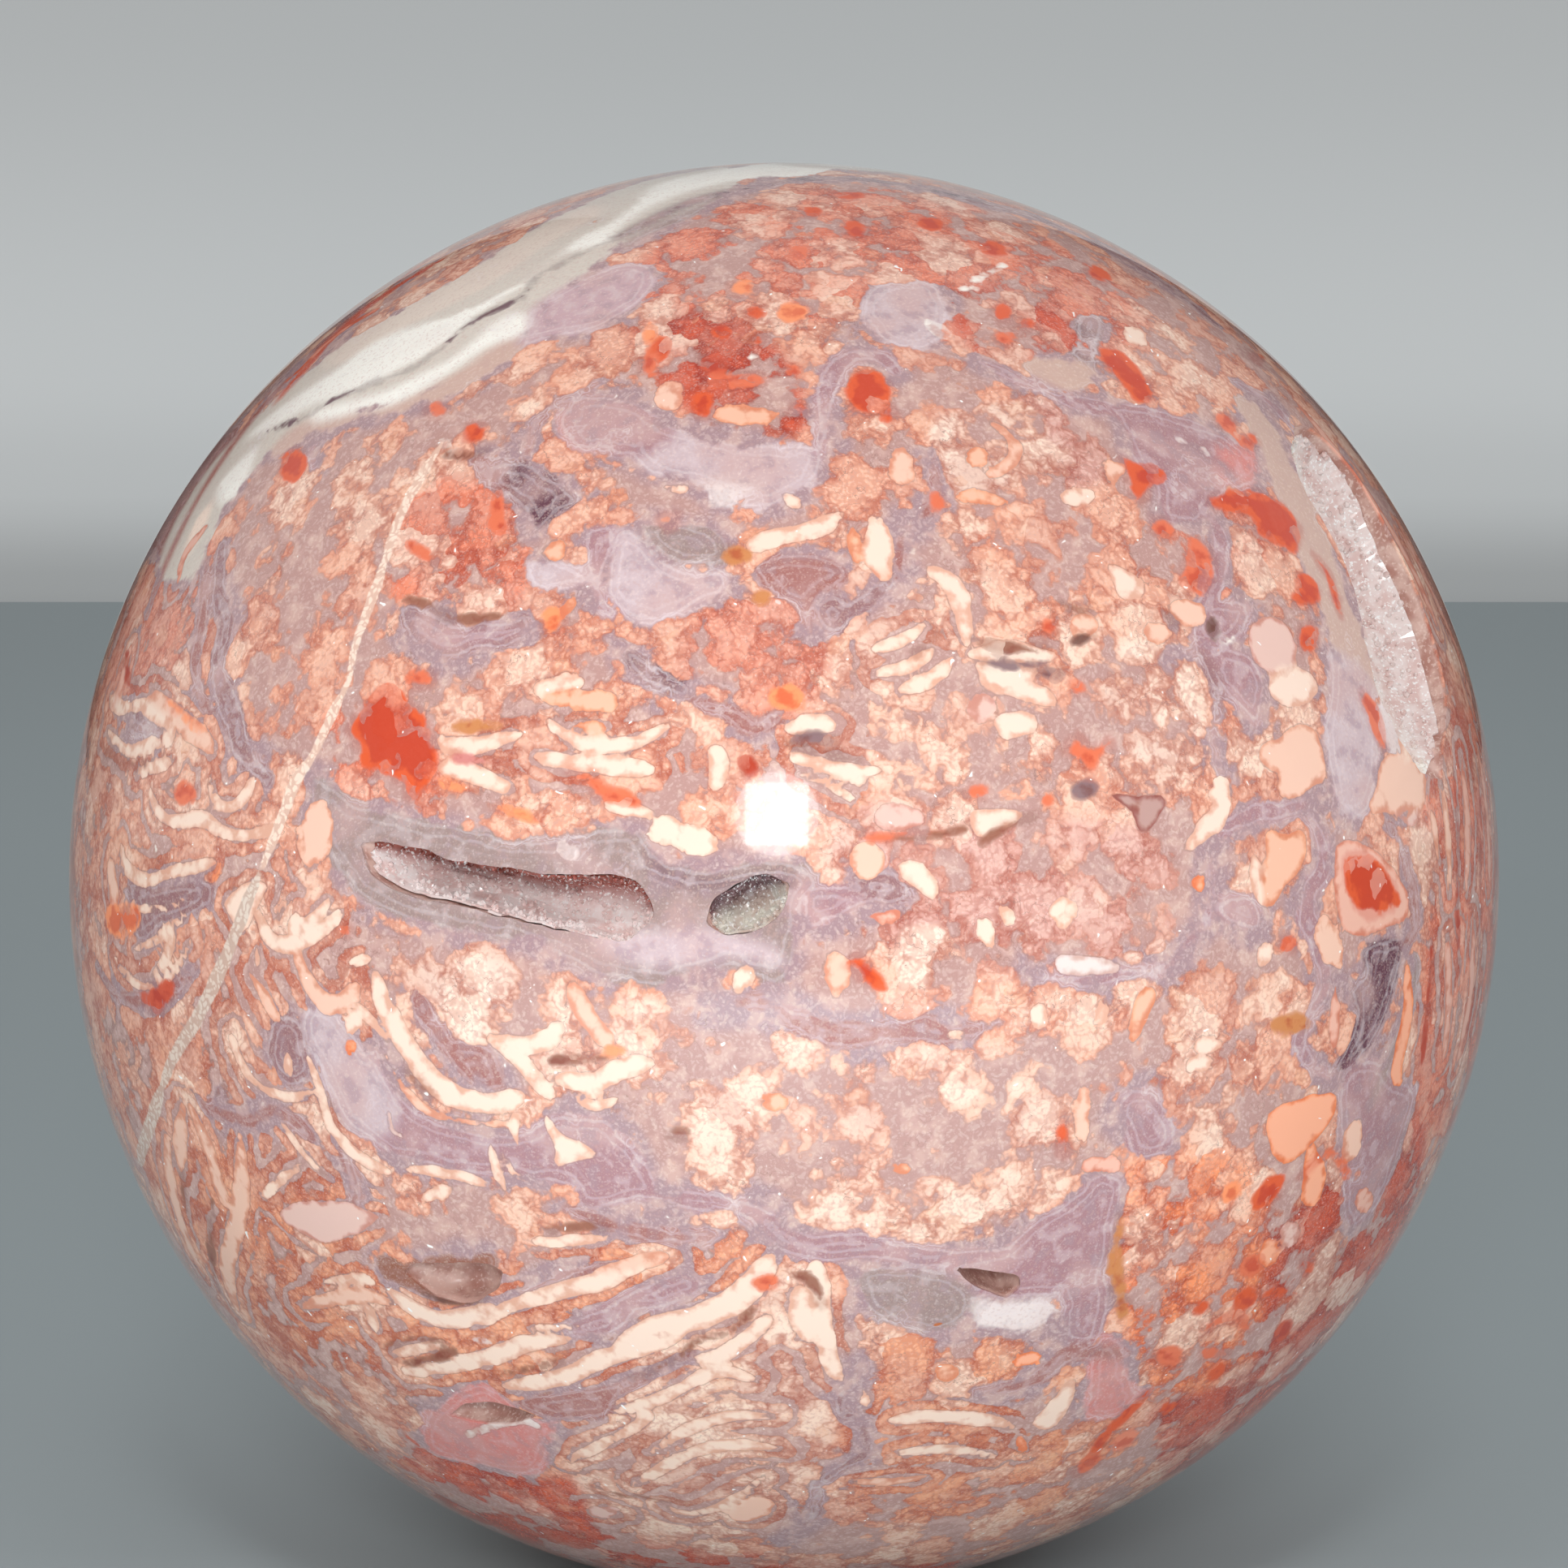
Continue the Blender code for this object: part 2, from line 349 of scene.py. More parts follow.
def ground_away():
    """One mesh of all that is taken off the ball: the pockets, and the slab below the foot."""
    builder = bmesh.new()
    for stations in POCKETS:
        close_pod(builder, pod_rings(stations))
    slab = bmesh.ops.create_cube(builder, size=RADIUS)["verts"]
    bmesh.ops.translate(builder, verts=slab, vec=(0, 0, -RADIUS / 2))
    bmesh.ops.recalc_face_normals(builder, faces=builder.faces)
    mesh = bpy.data.meshes.new("ground_away")
    builder.to_mesh(mesh)
    builder.free()
    return mesh


def cut_stone():
    """The ball less its pockets and its foot, as triangles."""
    whole = bpy.data.objects.new("whole_ball", ball_mesh)
    cutter = bpy.data.objects.new("ground_away", ground_away())
    for made in (whole, cutter):
        bpy.context.scene.collection.objects.link(made)
    boolean = whole.modifiers.new("pockets", "BOOLEAN")
    boolean.operation = "DIFFERENCE"
    boolean.object = cutter
    boolean.solver = "EXACT"
    shown = whole.evaluated_get(bpy.context.evaluated_depsgraph_get())
    mesh = bpy.data.meshes.new_from_object(shown)
    for made in (whole, cutter):
        bpy.data.objects.remove(made)
    builder = bmesh.new()
    builder.from_mesh(mesh)
    bmesh.ops.triangulate(builder, faces=builder.faces)
    builder.to_mesh(mesh)
    builder.free()
    return mesh


stone_mesh = cut_stone()
stone_mesh.name = "polished_stone"
stone = bpy.data.objects.new("polished_stone", stone_mesh)
bpy.context.scene.collection.objects.link(stone)


# The stone's markings: pale chalcedony in pools and seams, cream and peach strips, petals and
# plates round them, and red, ochre and dark stains. Each is laid where the photograph shows it.

TONES = {
    "white": (255, 248, 238),
    "cream": (249, 214, 193),
    "pale_cream": (252, 226, 208),
    "petal": (248, 214, 194),
    "peach": (242, 184, 157),
    "peach_orange": (242, 168, 130),
    "salmon": (234, 160, 136),
    "orange": (252, 150, 98),
    "terracotta": (230, 112, 74),
    "red": (224, 84, 30),
    "deep_red": (184, 56, 26),
    "ochre": (206, 130, 74),
    "brown": (150, 92, 72),
    "dark_brown": (112, 72, 62),
    "mauve": (164, 104, 98),
    "mauve_pink": (214, 130, 124),
    "pink": (226, 176, 164),
    "lavender": (170, 124, 130),
    "lilac": (204, 178, 182),
    "pale_lilac": (234, 216, 212),
    "purple": (151, 106, 108),
    "dark_purple": (98, 54, 68),
    "grey_lilac": (156, 130, 126),
    "grey": (134, 104, 108),
    "grey_beige": (206, 170, 156),
    "beige": (228, 210, 196),
    "coral": (236, 136, 104),
    "rust": (210, 80, 46),
    "glass": (214, 202, 190),
    "lilac_pink": (198, 162, 168),
    "vug_brown": (168, 92, 80),
    "vug_grey": (252, 240, 238),
    "glass_green": (226, 220, 208),
    "silver": (252, 247, 238),
}

# Fields of ground colour: tone, how lumpy, softness of the border in mm, outline in pixels
FIELDS = [
    ("peach", 0.9, 0.5, [(400, 520), (530, 510), (545, 560), (470, 720), (430, 840), (385, 950),
        (330, 960), (290, 880), (275, 760), (290, 650), (330, 590)]),
    ("coral", 1.0, 0.35, [(520, 590), (600, 588), (650, 640), (645, 740), (600, 755), (540, 745),
        (480, 735), (490, 660)]),
    ("peach", 0.9, 0.5, [(560, 470), (640, 420), (720, 400), (820, 420), (800, 480), (700, 520),
        (660, 560), (600, 550), (540, 540)]),
    ("coral", 1.0, 0.6, [(790, 320), (870, 262), (1000, 235), (1150, 240), (1300, 300), (1420, 390),
        (1350, 440), (1180, 425), (1000, 400), (880, 440), (790, 440)]),
    ("rust", 1.0, 0.4, [(1170, 360), (1240, 350), (1330, 400), (1310, 450), (1210, 440), (1165, 400)]),
    ("pink", 1.0, 0.5, [(1270, 480), (1370, 510), (1400, 560), (1340, 600), (1270, 590), (1240, 540)]),
    ("peach", 1.0, 0.8, [(1130, 620), (1350, 640), (1480, 720), (1460, 800), (1300, 830), (1180, 800)]),
    ("cream", 0.7, 0.6, [(1030, 700), (1180, 660), (1230, 800), (1330, 900), (1230, 960), (1100, 980),
        (1020, 900), (1000, 800)]),
    ("cream", 0.9, 0.25, [(1360, 800), (1420, 790), (1480, 830), (1500, 900), (1480, 960), (1420, 985),
        (1370, 960), (1340, 900), (1345, 840)]),
    ("peach", 0.8, 0.5, [(540, 820), (760, 810), (900, 880), (900, 1000), (760, 1010), (560, 1010),
        (500, 960), (540, 900)]),
    ("salmon", 0.9, 0.6, [(880, 740), (1000, 740), (1020, 830), (960, 900), (850, 860), (840, 790)]),
    ("pink", 0.9, 0.8, [(1030, 1000), (1250, 1000), (1480, 1040), (1480, 1180), (1240, 1200),
        (1060, 1150)]),
    ("peach", 0.9, 0.8, [(1480, 950), (1640, 900), (1620, 1000), (1560, 1040), (1480, 1010)]),
    ("cream", 0.9, 0.5, [(480, 1170), (640, 1150), (700, 1210), (800, 1230), (980, 1270), (1180, 1290),
        (1330, 1300), (1310, 1470), (1200, 1530), (1000, 1520), (860, 1460), (780, 1400), (690, 1340),
        (560, 1290), (500, 1230)]),
    ("peach", 1.0, 0.7, [(1330, 1210), (1520, 1190), (1560, 1300), (1560, 1450), (1420, 1440),
        (1330, 1330)]),
    ("orange", 1.15, 0.6, [(1390, 1440), (1530, 1430), (1600, 1560), (1560, 1680), (1430, 1720),
        (1380, 1600)]),
    ("rust", 1.2, 0.8, [(1560, 1500), (1700, 1400), (1760, 1380), (1700, 1600), (1560, 1740),
        (1440, 1830), (1420, 1740), (1540, 1680)]),
    ("coral", 0.9, 0.7, [(1740, 900), (1840, 900), (1845, 1200), (1800, 1400), (1740, 1350),
        (1760, 1100)]),
    ("peach", 0.6, 0.8, [(100, 830), (260, 830), (300, 960), (330, 1080), (250, 1220), (180, 1400),
        (110, 1250), (95, 1000)]),
    ("peach_orange", 0.7, 1.0, [(180, 1440), (300, 1420), (480, 1500), (480, 1680), (380, 1680), (250, 1560)]),
    ("peach_orange", 0.6, 0.8, [(450, 1600), (800, 1520), (960, 1540), (900, 1640), (700, 1740),
        (540, 1720)]),
    ("cream", 0.5, 0.7, [(720, 1740), (900, 1600), (1000, 1560), (1040, 1700), (1000, 1840), (860, 1900),
        (720, 1860)]),
    ("peach_orange", 0.9, 0.8, [(1060, 1640), (1300, 1650), (1400, 1760), (1300, 1860), (1060, 1860),
        (1040, 1740)]),
    ("rust", 0.8, 0.9, [(480, 1760), (640, 1810), (760, 1890), (1000, 1920), (1350, 1880), (1400, 1860),
        (1300, 1935), (900, 1960), (560, 1860)]),
    ("salmon", 0.8, 0.7, [(180, 700), (260, 640), (250, 760), (200, 850), (130, 860), (140, 780)]),
    ("rust", 1.0, 0.4, [(800, 400), (870, 380), (960, 430), (1000, 520), (930, 540), (850, 510),
        (800, 460)]),
    ("coral", 1.1, 0.6, [(1440, 560), (1520, 600), (1560, 700), (1500, 730), (1440, 680)]),
    ("coral", 0.9, 0.5, [(400, 880), (520, 880), (545, 960), (520, 1010), (420, 985)]),
    ("peach", 0.9, 0.6, [(560, 780), (700, 780), (760, 820), (640, 840), (560, 830)]),
    ("pale_cream", 1.1, 0.25, [(515, 1185), (560, 1180), (640, 1185), (655, 1210), (650, 1240), (600, 1270), (600, 1285),
        (560, 1280), (545, 1250), (525, 1215)]),
    ("pale_cream", 1.2, 0.25, [(1150, 520), (1200, 500), (1270, 500), (1290, 540), (1270, 580), (1250, 600), (1200, 620),
        (1170, 600), (1150, 560)]),
    ("pale_cream", 1.1, 0.25, [(1360, 830), (1380, 800), (1420, 790), (1460, 795), (1475, 830), (1470, 860), (1480, 890),
        (1475, 930), (1440, 940), (1390, 930), (1365, 900)]),
    ("pale_cream", 1.1, 0.25, [(1110, 1150), (1150, 1140), (1175, 1155), (1190, 1180), (1180, 1200), (1150, 1215),
        (1120, 1215), (1105, 1190)]),
    ("red", 1.5, 0.6, [(530, 1790), (600, 1810), (650, 1825), (700, 1820), (720, 1850), (735, 1890),
        (680, 1870), (620, 1845), (560, 1825), (520, 1800)]),
]

# Where the ground lies in thin wavy layers instead of clumps, outlines in pixels
LAYERED = [
    [(430, 1600), (600, 1560), (800, 1520), (960, 1530), (1040, 1560), (1045, 1700), (1000, 1860),
        (860, 1900), (720, 1870), (640, 1740), (480, 1740), (380, 1680)],
    [(100, 840), (270, 840), (330, 1010), (420, 1100), (460, 1240), (440, 1400), (480, 1480), (450, 1560),
        (380, 1690), (250, 1580), (160, 1400), (95, 1200), (90, 1000)],
    [(1700, 640), (1790, 760), (1850, 900), (1850, 1100), (1820, 1300), (1760, 1400), (1730, 1300),
        (1760, 1150), (1765, 1000), (1750, 850), (1700, 740)],
    [(540, 890), (660, 880), (830, 880), (840, 960), (700, 970), (560, 970)],
    [(1040, 740), (1150, 740), (1190, 800), (1130, 860), (1060, 860)],
    [(960, 880), (1060, 880), (1090, 960), (1060, 1020), (960, 980)],
    [(1050, 1720), (1260, 1730), (1260, 1830), (1060, 1840)],
    [(180, 700), (280, 640), (270, 800), (180, 860), (140, 800)],
]

# Chalcedony pools: tone and outline in pixels
POOLS = [
    ("lilac", [(760, 655), (790, 660), (820, 690), (860, 700), (895, 705), (895, 735), (860, 750),
        (830, 765), (800, 770), (765, 755), (745, 725), (750, 690)]),
    ("lavender", [(730, 650), (760, 655), (745, 725), (765, 755), (745, 765), (730, 735), (715, 700),
        (720, 670)]),
    ("grey_lilac", [(800, 640), (880, 650), (900, 690), (860, 700), (820, 690), (790, 660)]),
    ("lilac", [(760, 520), (800, 510), (850, 530), (940, 545), (1000, 545), (1015, 560), (1000, 600),
        (940, 630), (890, 620), (860, 600), (800, 580), (770, 550)]),
    ("pale_lilac", [(870, 590), (940, 600), (900, 625), (875, 620)]),
    ("lilac", [(655, 690), (720, 700), (740, 720), (700, 725), (665, 730), (650, 715)]),
    ("mauve_pink", [(690, 505), (770, 505), (765, 545), (720, 560), (690, 540)]),
    ("lavender", [(700, 490), (780, 490), (830, 530), (800, 560), (740, 560), (700, 540)]),
    ("lilac", [(1063, 369), (1092, 345), (1145, 345), (1169, 374), (1165, 408), (1133, 430),
        (1085, 420), (1063, 396)]),
    ("purple", [(495, 750), (530, 745), (560, 765), (620, 765), (650, 755), (655, 785), (620, 800),
        (590, 800), (560, 815), (530, 810), (500, 785)]),
    ("lavender", [(515, 765), (560, 775), (630, 770), (640, 785), (560, 800), (525, 790)]),
    ("dark_purple", [(605, 565), (650, 570), (700, 600), (720, 620), (690, 630), (660, 655), (650, 640),
        (630, 620), (600, 600)]),
    ("mauve", [(575, 570), (605, 565), (630, 620), (610, 615), (585, 590)]),
    ("purple", [(1010, 740), (1030, 735), (1050, 750), (1045, 775), (1020, 785), (1000, 760)]),
    ("mauve", [(940, 690), (975, 680), (1030, 690), (1040, 715), (1010, 740), (1000, 790), (975, 750),
        (950, 735), (930, 700)]),
    ("dark_purple", [(765, 800), (790, 805), (840, 835), (850, 860), (800, 850), (775, 825)]),
    ("grey_lilac", [(385, 955), (420, 975), (480, 1000), (560, 1019), (649, 1032), (713, 1022),
        (777, 1022), (800, 1040), (815, 1062), (866, 1070), (917, 1065), (980, 1060), (1010, 1080),
        (1000, 1110), (985, 1150), (975, 1190), (955, 1215), (904, 1190), (874, 1200), (820, 1212),
        (740, 1208), (693, 1187), (637, 1162), (560, 1149), (500, 1130), (450, 1110), (415, 1070),
        (385, 1010)]),
    ("lilac", [(735, 1150), (800, 1145), (860, 1140), (900, 1150), (950, 1165), (965, 1190),
        (900, 1180), (860, 1190), (790, 1190), (745, 1172)]),
    ("grey", [(800, 1040), (830, 1070), (900, 1080), (960, 1075), (1000, 1090), (960, 1130),
        (940, 1090), (860, 1100), (805, 1085)]),
    ("lavender", [(990, 1090), (1060, 1095), (1080, 1110), (1040, 1130), (1000, 1150), (985, 1130)]),
    ("purple", [(1050, 1080), (1100, 1075), (1130, 1105), (1080, 1115)]),
    ("grey", [(1325, 385), (1359, 390), (1359, 421), (1350, 453), (1330, 445), (1316, 433), (1325, 409)]),
    ("grey_beige", [(1260, 445), (1325, 443), (1354, 462), (1337, 477), (1301, 482), (1272, 465)]),
    ("lavender", [(1370, 500), (1410, 500), (1460, 515), (1500, 530), (1540, 560), (1545, 600),
        (1500, 620), (1480, 650), (1430, 640), (1425, 600), (1400, 575), (1385, 545)]),
    ("mauve_pink", [(1500, 550), (1550, 560), (1550, 600), (1500, 600)]),
    ("grey_beige", [(1520, 490), (1550, 500), (1590, 560), (1620, 620), (1650, 700), (1680, 780),
        (1700, 860), (1660, 850), (1640, 790), (1625, 740), (1600, 680), (1570, 600), (1545, 540)]),
    ("lilac", [(1640, 800), (1690, 840), (1700, 900), (1700, 940), (1690, 1000), (1650, 1010),
        (1640, 960), (1632, 900), (1636, 850)]),
    ("pale_lilac", [(1700, 860), (1740, 880), (1762, 920), (1750, 940), (1715, 930), (1700, 900)]),
    ("lavender", [(1500, 800), (1545, 810), (1560, 850), (1550, 900), (1520, 870), (1500, 840)]),
    ("lavender", [(1480, 740), (1540, 740), (1535, 780), (1500, 800), (1470, 780)]),
    ("dark_purple", [(1680, 1170), (1700, 1160), (1730, 1155), (1728, 1180), (1720, 1210), (1710, 1240),
        (1700, 1270), (1680, 1300), (1655, 1325), (1640, 1320), (1660, 1290), (1670, 1250), (1660, 1220),
        (1680, 1200)]),
    ("lavender", [(1650, 1330), (1700, 1300), (1720, 1330), (1745, 1340), (1730, 1400), (1700, 1480),
        (1660, 1520), (1650, 1440)]),
    ("lavender", [(1500, 1105), (1540, 1095), (1555, 1120), (1555, 1145), (1530, 1150), (1500, 1130)]),
    ("lavender", [(1380, 1350), (1400, 1338), (1425, 1340), (1440, 1370), (1450, 1390), (1440, 1420),
        (1400, 1425), (1385, 1400), (1375, 1375)]),
    ("lavender", [(1350, 1445), (1385, 1455), (1378, 1500), (1372, 1550), (1365, 1610), (1350, 1660),
        (1310, 1650), (1300, 1600), (1200, 1600), (1150, 1560), (1200, 1540), (1240, 1530), (1270, 1505),
        (1300, 1490), (1330, 1470)]),
    ("pale_lilac", [(1190, 1600), (1250, 1605), (1290, 1600), (1300, 1620), (1270, 1645), (1220, 1640),
        (1190, 1620)]),
    ("grey_lilac", [(1060, 1560), (1150, 1560), (1200, 1590), (1180, 1640), (1100, 1640), (1060, 1600)]),
    ("mauve_pink", [(1350, 1650), (1385, 1655), (1400, 1705), (1420, 1710), (1400, 1725), (1375, 1745),
        (1340, 1750), (1335, 1720)]),
    ("lavender", [(700, 1625), (740, 1610), (770, 1590), (810, 1575), (850, 1565), (870, 1590),
        (820, 1615), (790, 1620), (770, 1640), (740, 1650), (710, 1650), (690, 1640)]),
    ("lavender", [(450, 1290), (470, 1290), (485, 1330), (505, 1360), (540, 1380), (580, 1390),
        (630, 1395), (670, 1375), (720, 1370), (755, 1380), (780, 1410), (800, 1440), (815, 1465),
        (840, 1475), (830, 1485), (790, 1480), (750, 1490), (715, 1485), (700, 1460), (655, 1455),
        (610, 1450), (570, 1445), (520, 1435), (490, 1430), (465, 1415), (440, 1395), (420, 1370),
        (400, 1330)]),
    ("lilac", [(380, 1240), (410, 1240), (425, 1260), (450, 1290), (475, 1330), (490, 1380), (470, 1400),
        (430, 1390), (405, 1350), (390, 1310), (375, 1280)]),
    ("purple", [(340, 1250), (370, 1260), (385, 1320), (360, 1340), (330, 1300)]),
    ("mauve", [(515, 1215), (535, 1240), (550, 1260), (560, 1280), (600, 1290), (615, 1310), (625, 1340),
        (600, 1345), (575, 1335), (555, 1310), (530, 1280), (505, 1240)]),
    ("brown", [(470, 1550), (500, 1555), (560, 1545), (605, 1545), (610, 1560), (605, 1580), (590, 1595),
        (560, 1603), (530, 1598), (505, 1588), (480, 1580), (465, 1565)]),
    ("mauve_pink", [(520, 1740), (550, 1720), (590, 1705), (620, 1720), (650, 1745), (690, 1755),
        (680, 1790), (665, 1815), (640, 1818), (600, 1810), (560, 1800), (530, 1790), (520, 1765)]),
    ("mauve", [(640, 1725), (700, 1712), (740, 1708), (780, 1690), (820, 1680), (850, 1660), (850, 1675),
        (800, 1700), (760, 1725), (750, 1745), (700, 1750), (660, 1742)]),
    ("purple", [(155, 1090), (215, 1085), (255, 1085), (262, 1110), (240, 1125), (205, 1140), (175, 1160),
        (165, 1150), (170, 1120)]),
    ("grey_lilac", [(760, 294), (795, 263), (860, 238), (900, 240), (860, 262), (795, 294), (771, 311)]),
    ("mauve", [(230, 560), (300, 520), (240, 640), (200, 690), (190, 660)]),
    # the crest at the top left: glassy chalcedony and white quartz, their pale band and white streaks partly a painted
    # reflection of a light
    ("glass", [(195, 700), (240, 600), (330, 500), (420, 430), (520, 370), (600, 320), (680, 270),
        (790, 225), (900, 205), (900, 235), (790, 285), (720, 340), (640, 410), (560, 470), (480, 500),
        (400, 520), (330, 560), (270, 640), (235, 720)]),
    ("grey_beige", [(340, 545), (400, 505), (470, 500), (560, 460), (600, 430), (640, 400), (660, 410),
        (620, 450), (540, 495), (440, 520), (380, 540), (340, 560)]),
    ("lilac_pink", [(650, 385), (700, 350), (760, 325), (800, 325), (807, 350), (771, 385), (735, 408),
        (680, 415), (640, 425)]),
    ("beige", [(400, 440), (480, 390), (570, 340), (650, 290), (720, 255), (745, 262), (680, 300),
        (600, 355), (500, 405), (420, 450)]),
    ("silver", [(304, 540), (332, 512), (408, 460), (464, 420), (560, 384), (632, 352), (672, 324),
        (712, 292), (760, 268), (808, 228), (872, 212), (920, 204), (996, 200), (1040, 206), (996, 216),
        (920, 220), (880, 228), (808, 252), (760, 284), (750, 298), (680, 320), (648, 352), (600, 384),
        (536, 434), (480, 462), (440, 480), (376, 504), (328, 532)]),
    ("silver", [(384, 508), (440, 492), (480, 480), (520, 460), (552, 444), (584, 420), (616, 392),
        (648, 388), (644, 412), (600, 428), (552, 460), (520, 480), (480, 500), (440, 508), (392, 520)]),
    ("silver", [(268, 596), (316, 552), (296, 604), (272, 620)]),
    ("pale_cream", [(240, 640), (262, 618), (250, 655), (225, 690)]),
    # a painted highlight: the bright white on the glassy bank of the side vug
    ("silver", [(1655, 560), (1672, 600), (1690, 628), (1680, 634), (1662, 606), (1648, 575)]),
]

# Chalcedony seams: tone, half width in mm, path in pixels
SEAMS = [
    ("purple", 0.75, [(274, 669), (269, 730), (281, 766), (269, 827), (288, 887), (298, 924),
        (330, 960)]),
    ("mauve", 0.5, [(255, 690), (250, 760), (240, 820), (255, 880)]),
    ("lavender", 0.5, [(1204, 443), (1241, 462), (1277, 477), (1316, 494), (1350, 501), (1374, 506),
        (1398, 523), (1447, 535), (1483, 559), (1519, 584)]),
    ("lavender", 0.6, [(1440, 620), (1494, 640), (1505, 690), (1486, 754), (1481, 802), (1530, 840)]),
    ("purple", 0.35, [(1114, 705), (1070, 740), (1040, 760), (1017, 778)]),
    ("purple", 0.7, [(1180, 245), (1277, 268), (1350, 300), (1422, 341), (1500, 400)]),
    ("dark_purple", 0.4, [(759, 294), (795, 275), (860, 246), (939, 229), (980, 222), (1048, 220),
        (1145, 234), (1210, 248)]),
    ("mauve", 0.6, [(880, 1240), (940, 1235), (980, 1255), (1030, 1275), (1080, 1275), (1140, 1265),
        (1170, 1275), (1230, 1260)]),
    ("lavender", 0.45, [(1270, 1200), (1330, 1210), (1380, 1200), (1430, 1195), (1465, 1165),
        (1490, 1120), (1490, 1050)]),
    ("lavender", 0.5, [(1500, 1025), (1550, 1000), (1580, 1000), (1610, 990), (1630, 980)]),
    ("lavender", 0.65, [(1610, 1000), (1625, 1030), (1630, 1070), (1615, 1095), (1610, 1130),
        (1620, 1150), (1635, 1210), (1620, 1240), (1600, 1290), (1640, 1330)]),
    ("mauve", 0.5, [(1710, 1015), (1725, 1040), (1738, 1085), (1745, 1140), (1730, 1160)]),
    ("lavender", 0.75, [(830, 1478), (880, 1482), (930, 1495), (960, 1520), (1000, 1538), (1060, 1535),
        (1120, 1545), (1180, 1550), (1240, 1540)]),
    ("mauve", 0.5, [(700, 1490), (760, 1510), (830, 1525), (880, 1520)]),
    ("purple", 0.4, [(1070, 1680), (1040, 1710), (1035, 1740), (1060, 1750), (1065, 1790), (1050, 1800),
        (1020, 1820), (1005, 1850), (1000, 1870), (965, 1900)]),
    ("mauve", 0.6, [(1200, 1715), (1250, 1710), (1290, 1690), (1310, 1670), (1350, 1665), (1390, 1670)]),
    ("lavender", 0.6, [(1010, 560), (1015, 510), (1020, 480), (1045, 442), (1085, 440), (1105, 460)]),
    ("mauve", 0.4, [(850, 865), (900, 880), (930, 900), (960, 880)]),
    ("mauve", 0.35, [(1150, 560), (1150, 620), (1110, 660), (1110, 710)]),
    ("lavender", 0.3, [(400, 540), (380, 560), (390, 580)]),
    ("purple", 0.35, [(1440, 800), (1480, 810), (1500, 850), (1495, 900), (1505, 960)]),
    ("mauve", 0.5, [(420, 1405), (440, 1470), (420, 1500)]),
    ("mauve", 0.45, [(560, 1620), (640, 1600), (700, 1575), (750, 1560)]),
    ("purple", 0.5, [(150, 870), (180, 890), (190, 905), (150, 905)]),
    ("mauve", 0.4, [(120, 1190), (150, 1230), (200, 1230), (240, 1190)]),
    ("grey_lilac", 0.5, [(1690, 1360), (1710, 1310), (1740, 1230), (1745, 1180)]),
    ("mauve", 0.6, [(250, 1360), (300, 1380), (340, 1370), (380, 1400)]),
    ("lavender", 0.5, [(1520, 470), (1570, 500), (1600, 540)]),
    ("mauve", 0.4, [(650, 560), (660, 520), (700, 490), (740, 470)]),
    ("vug_brown", 0.5, [(180, 760), (230, 640), (300, 530), (380, 440), (450, 375)]),
    ("rust", 0.6, [(345, 490), (402, 425), (457, 375), (542, 322)]),
]

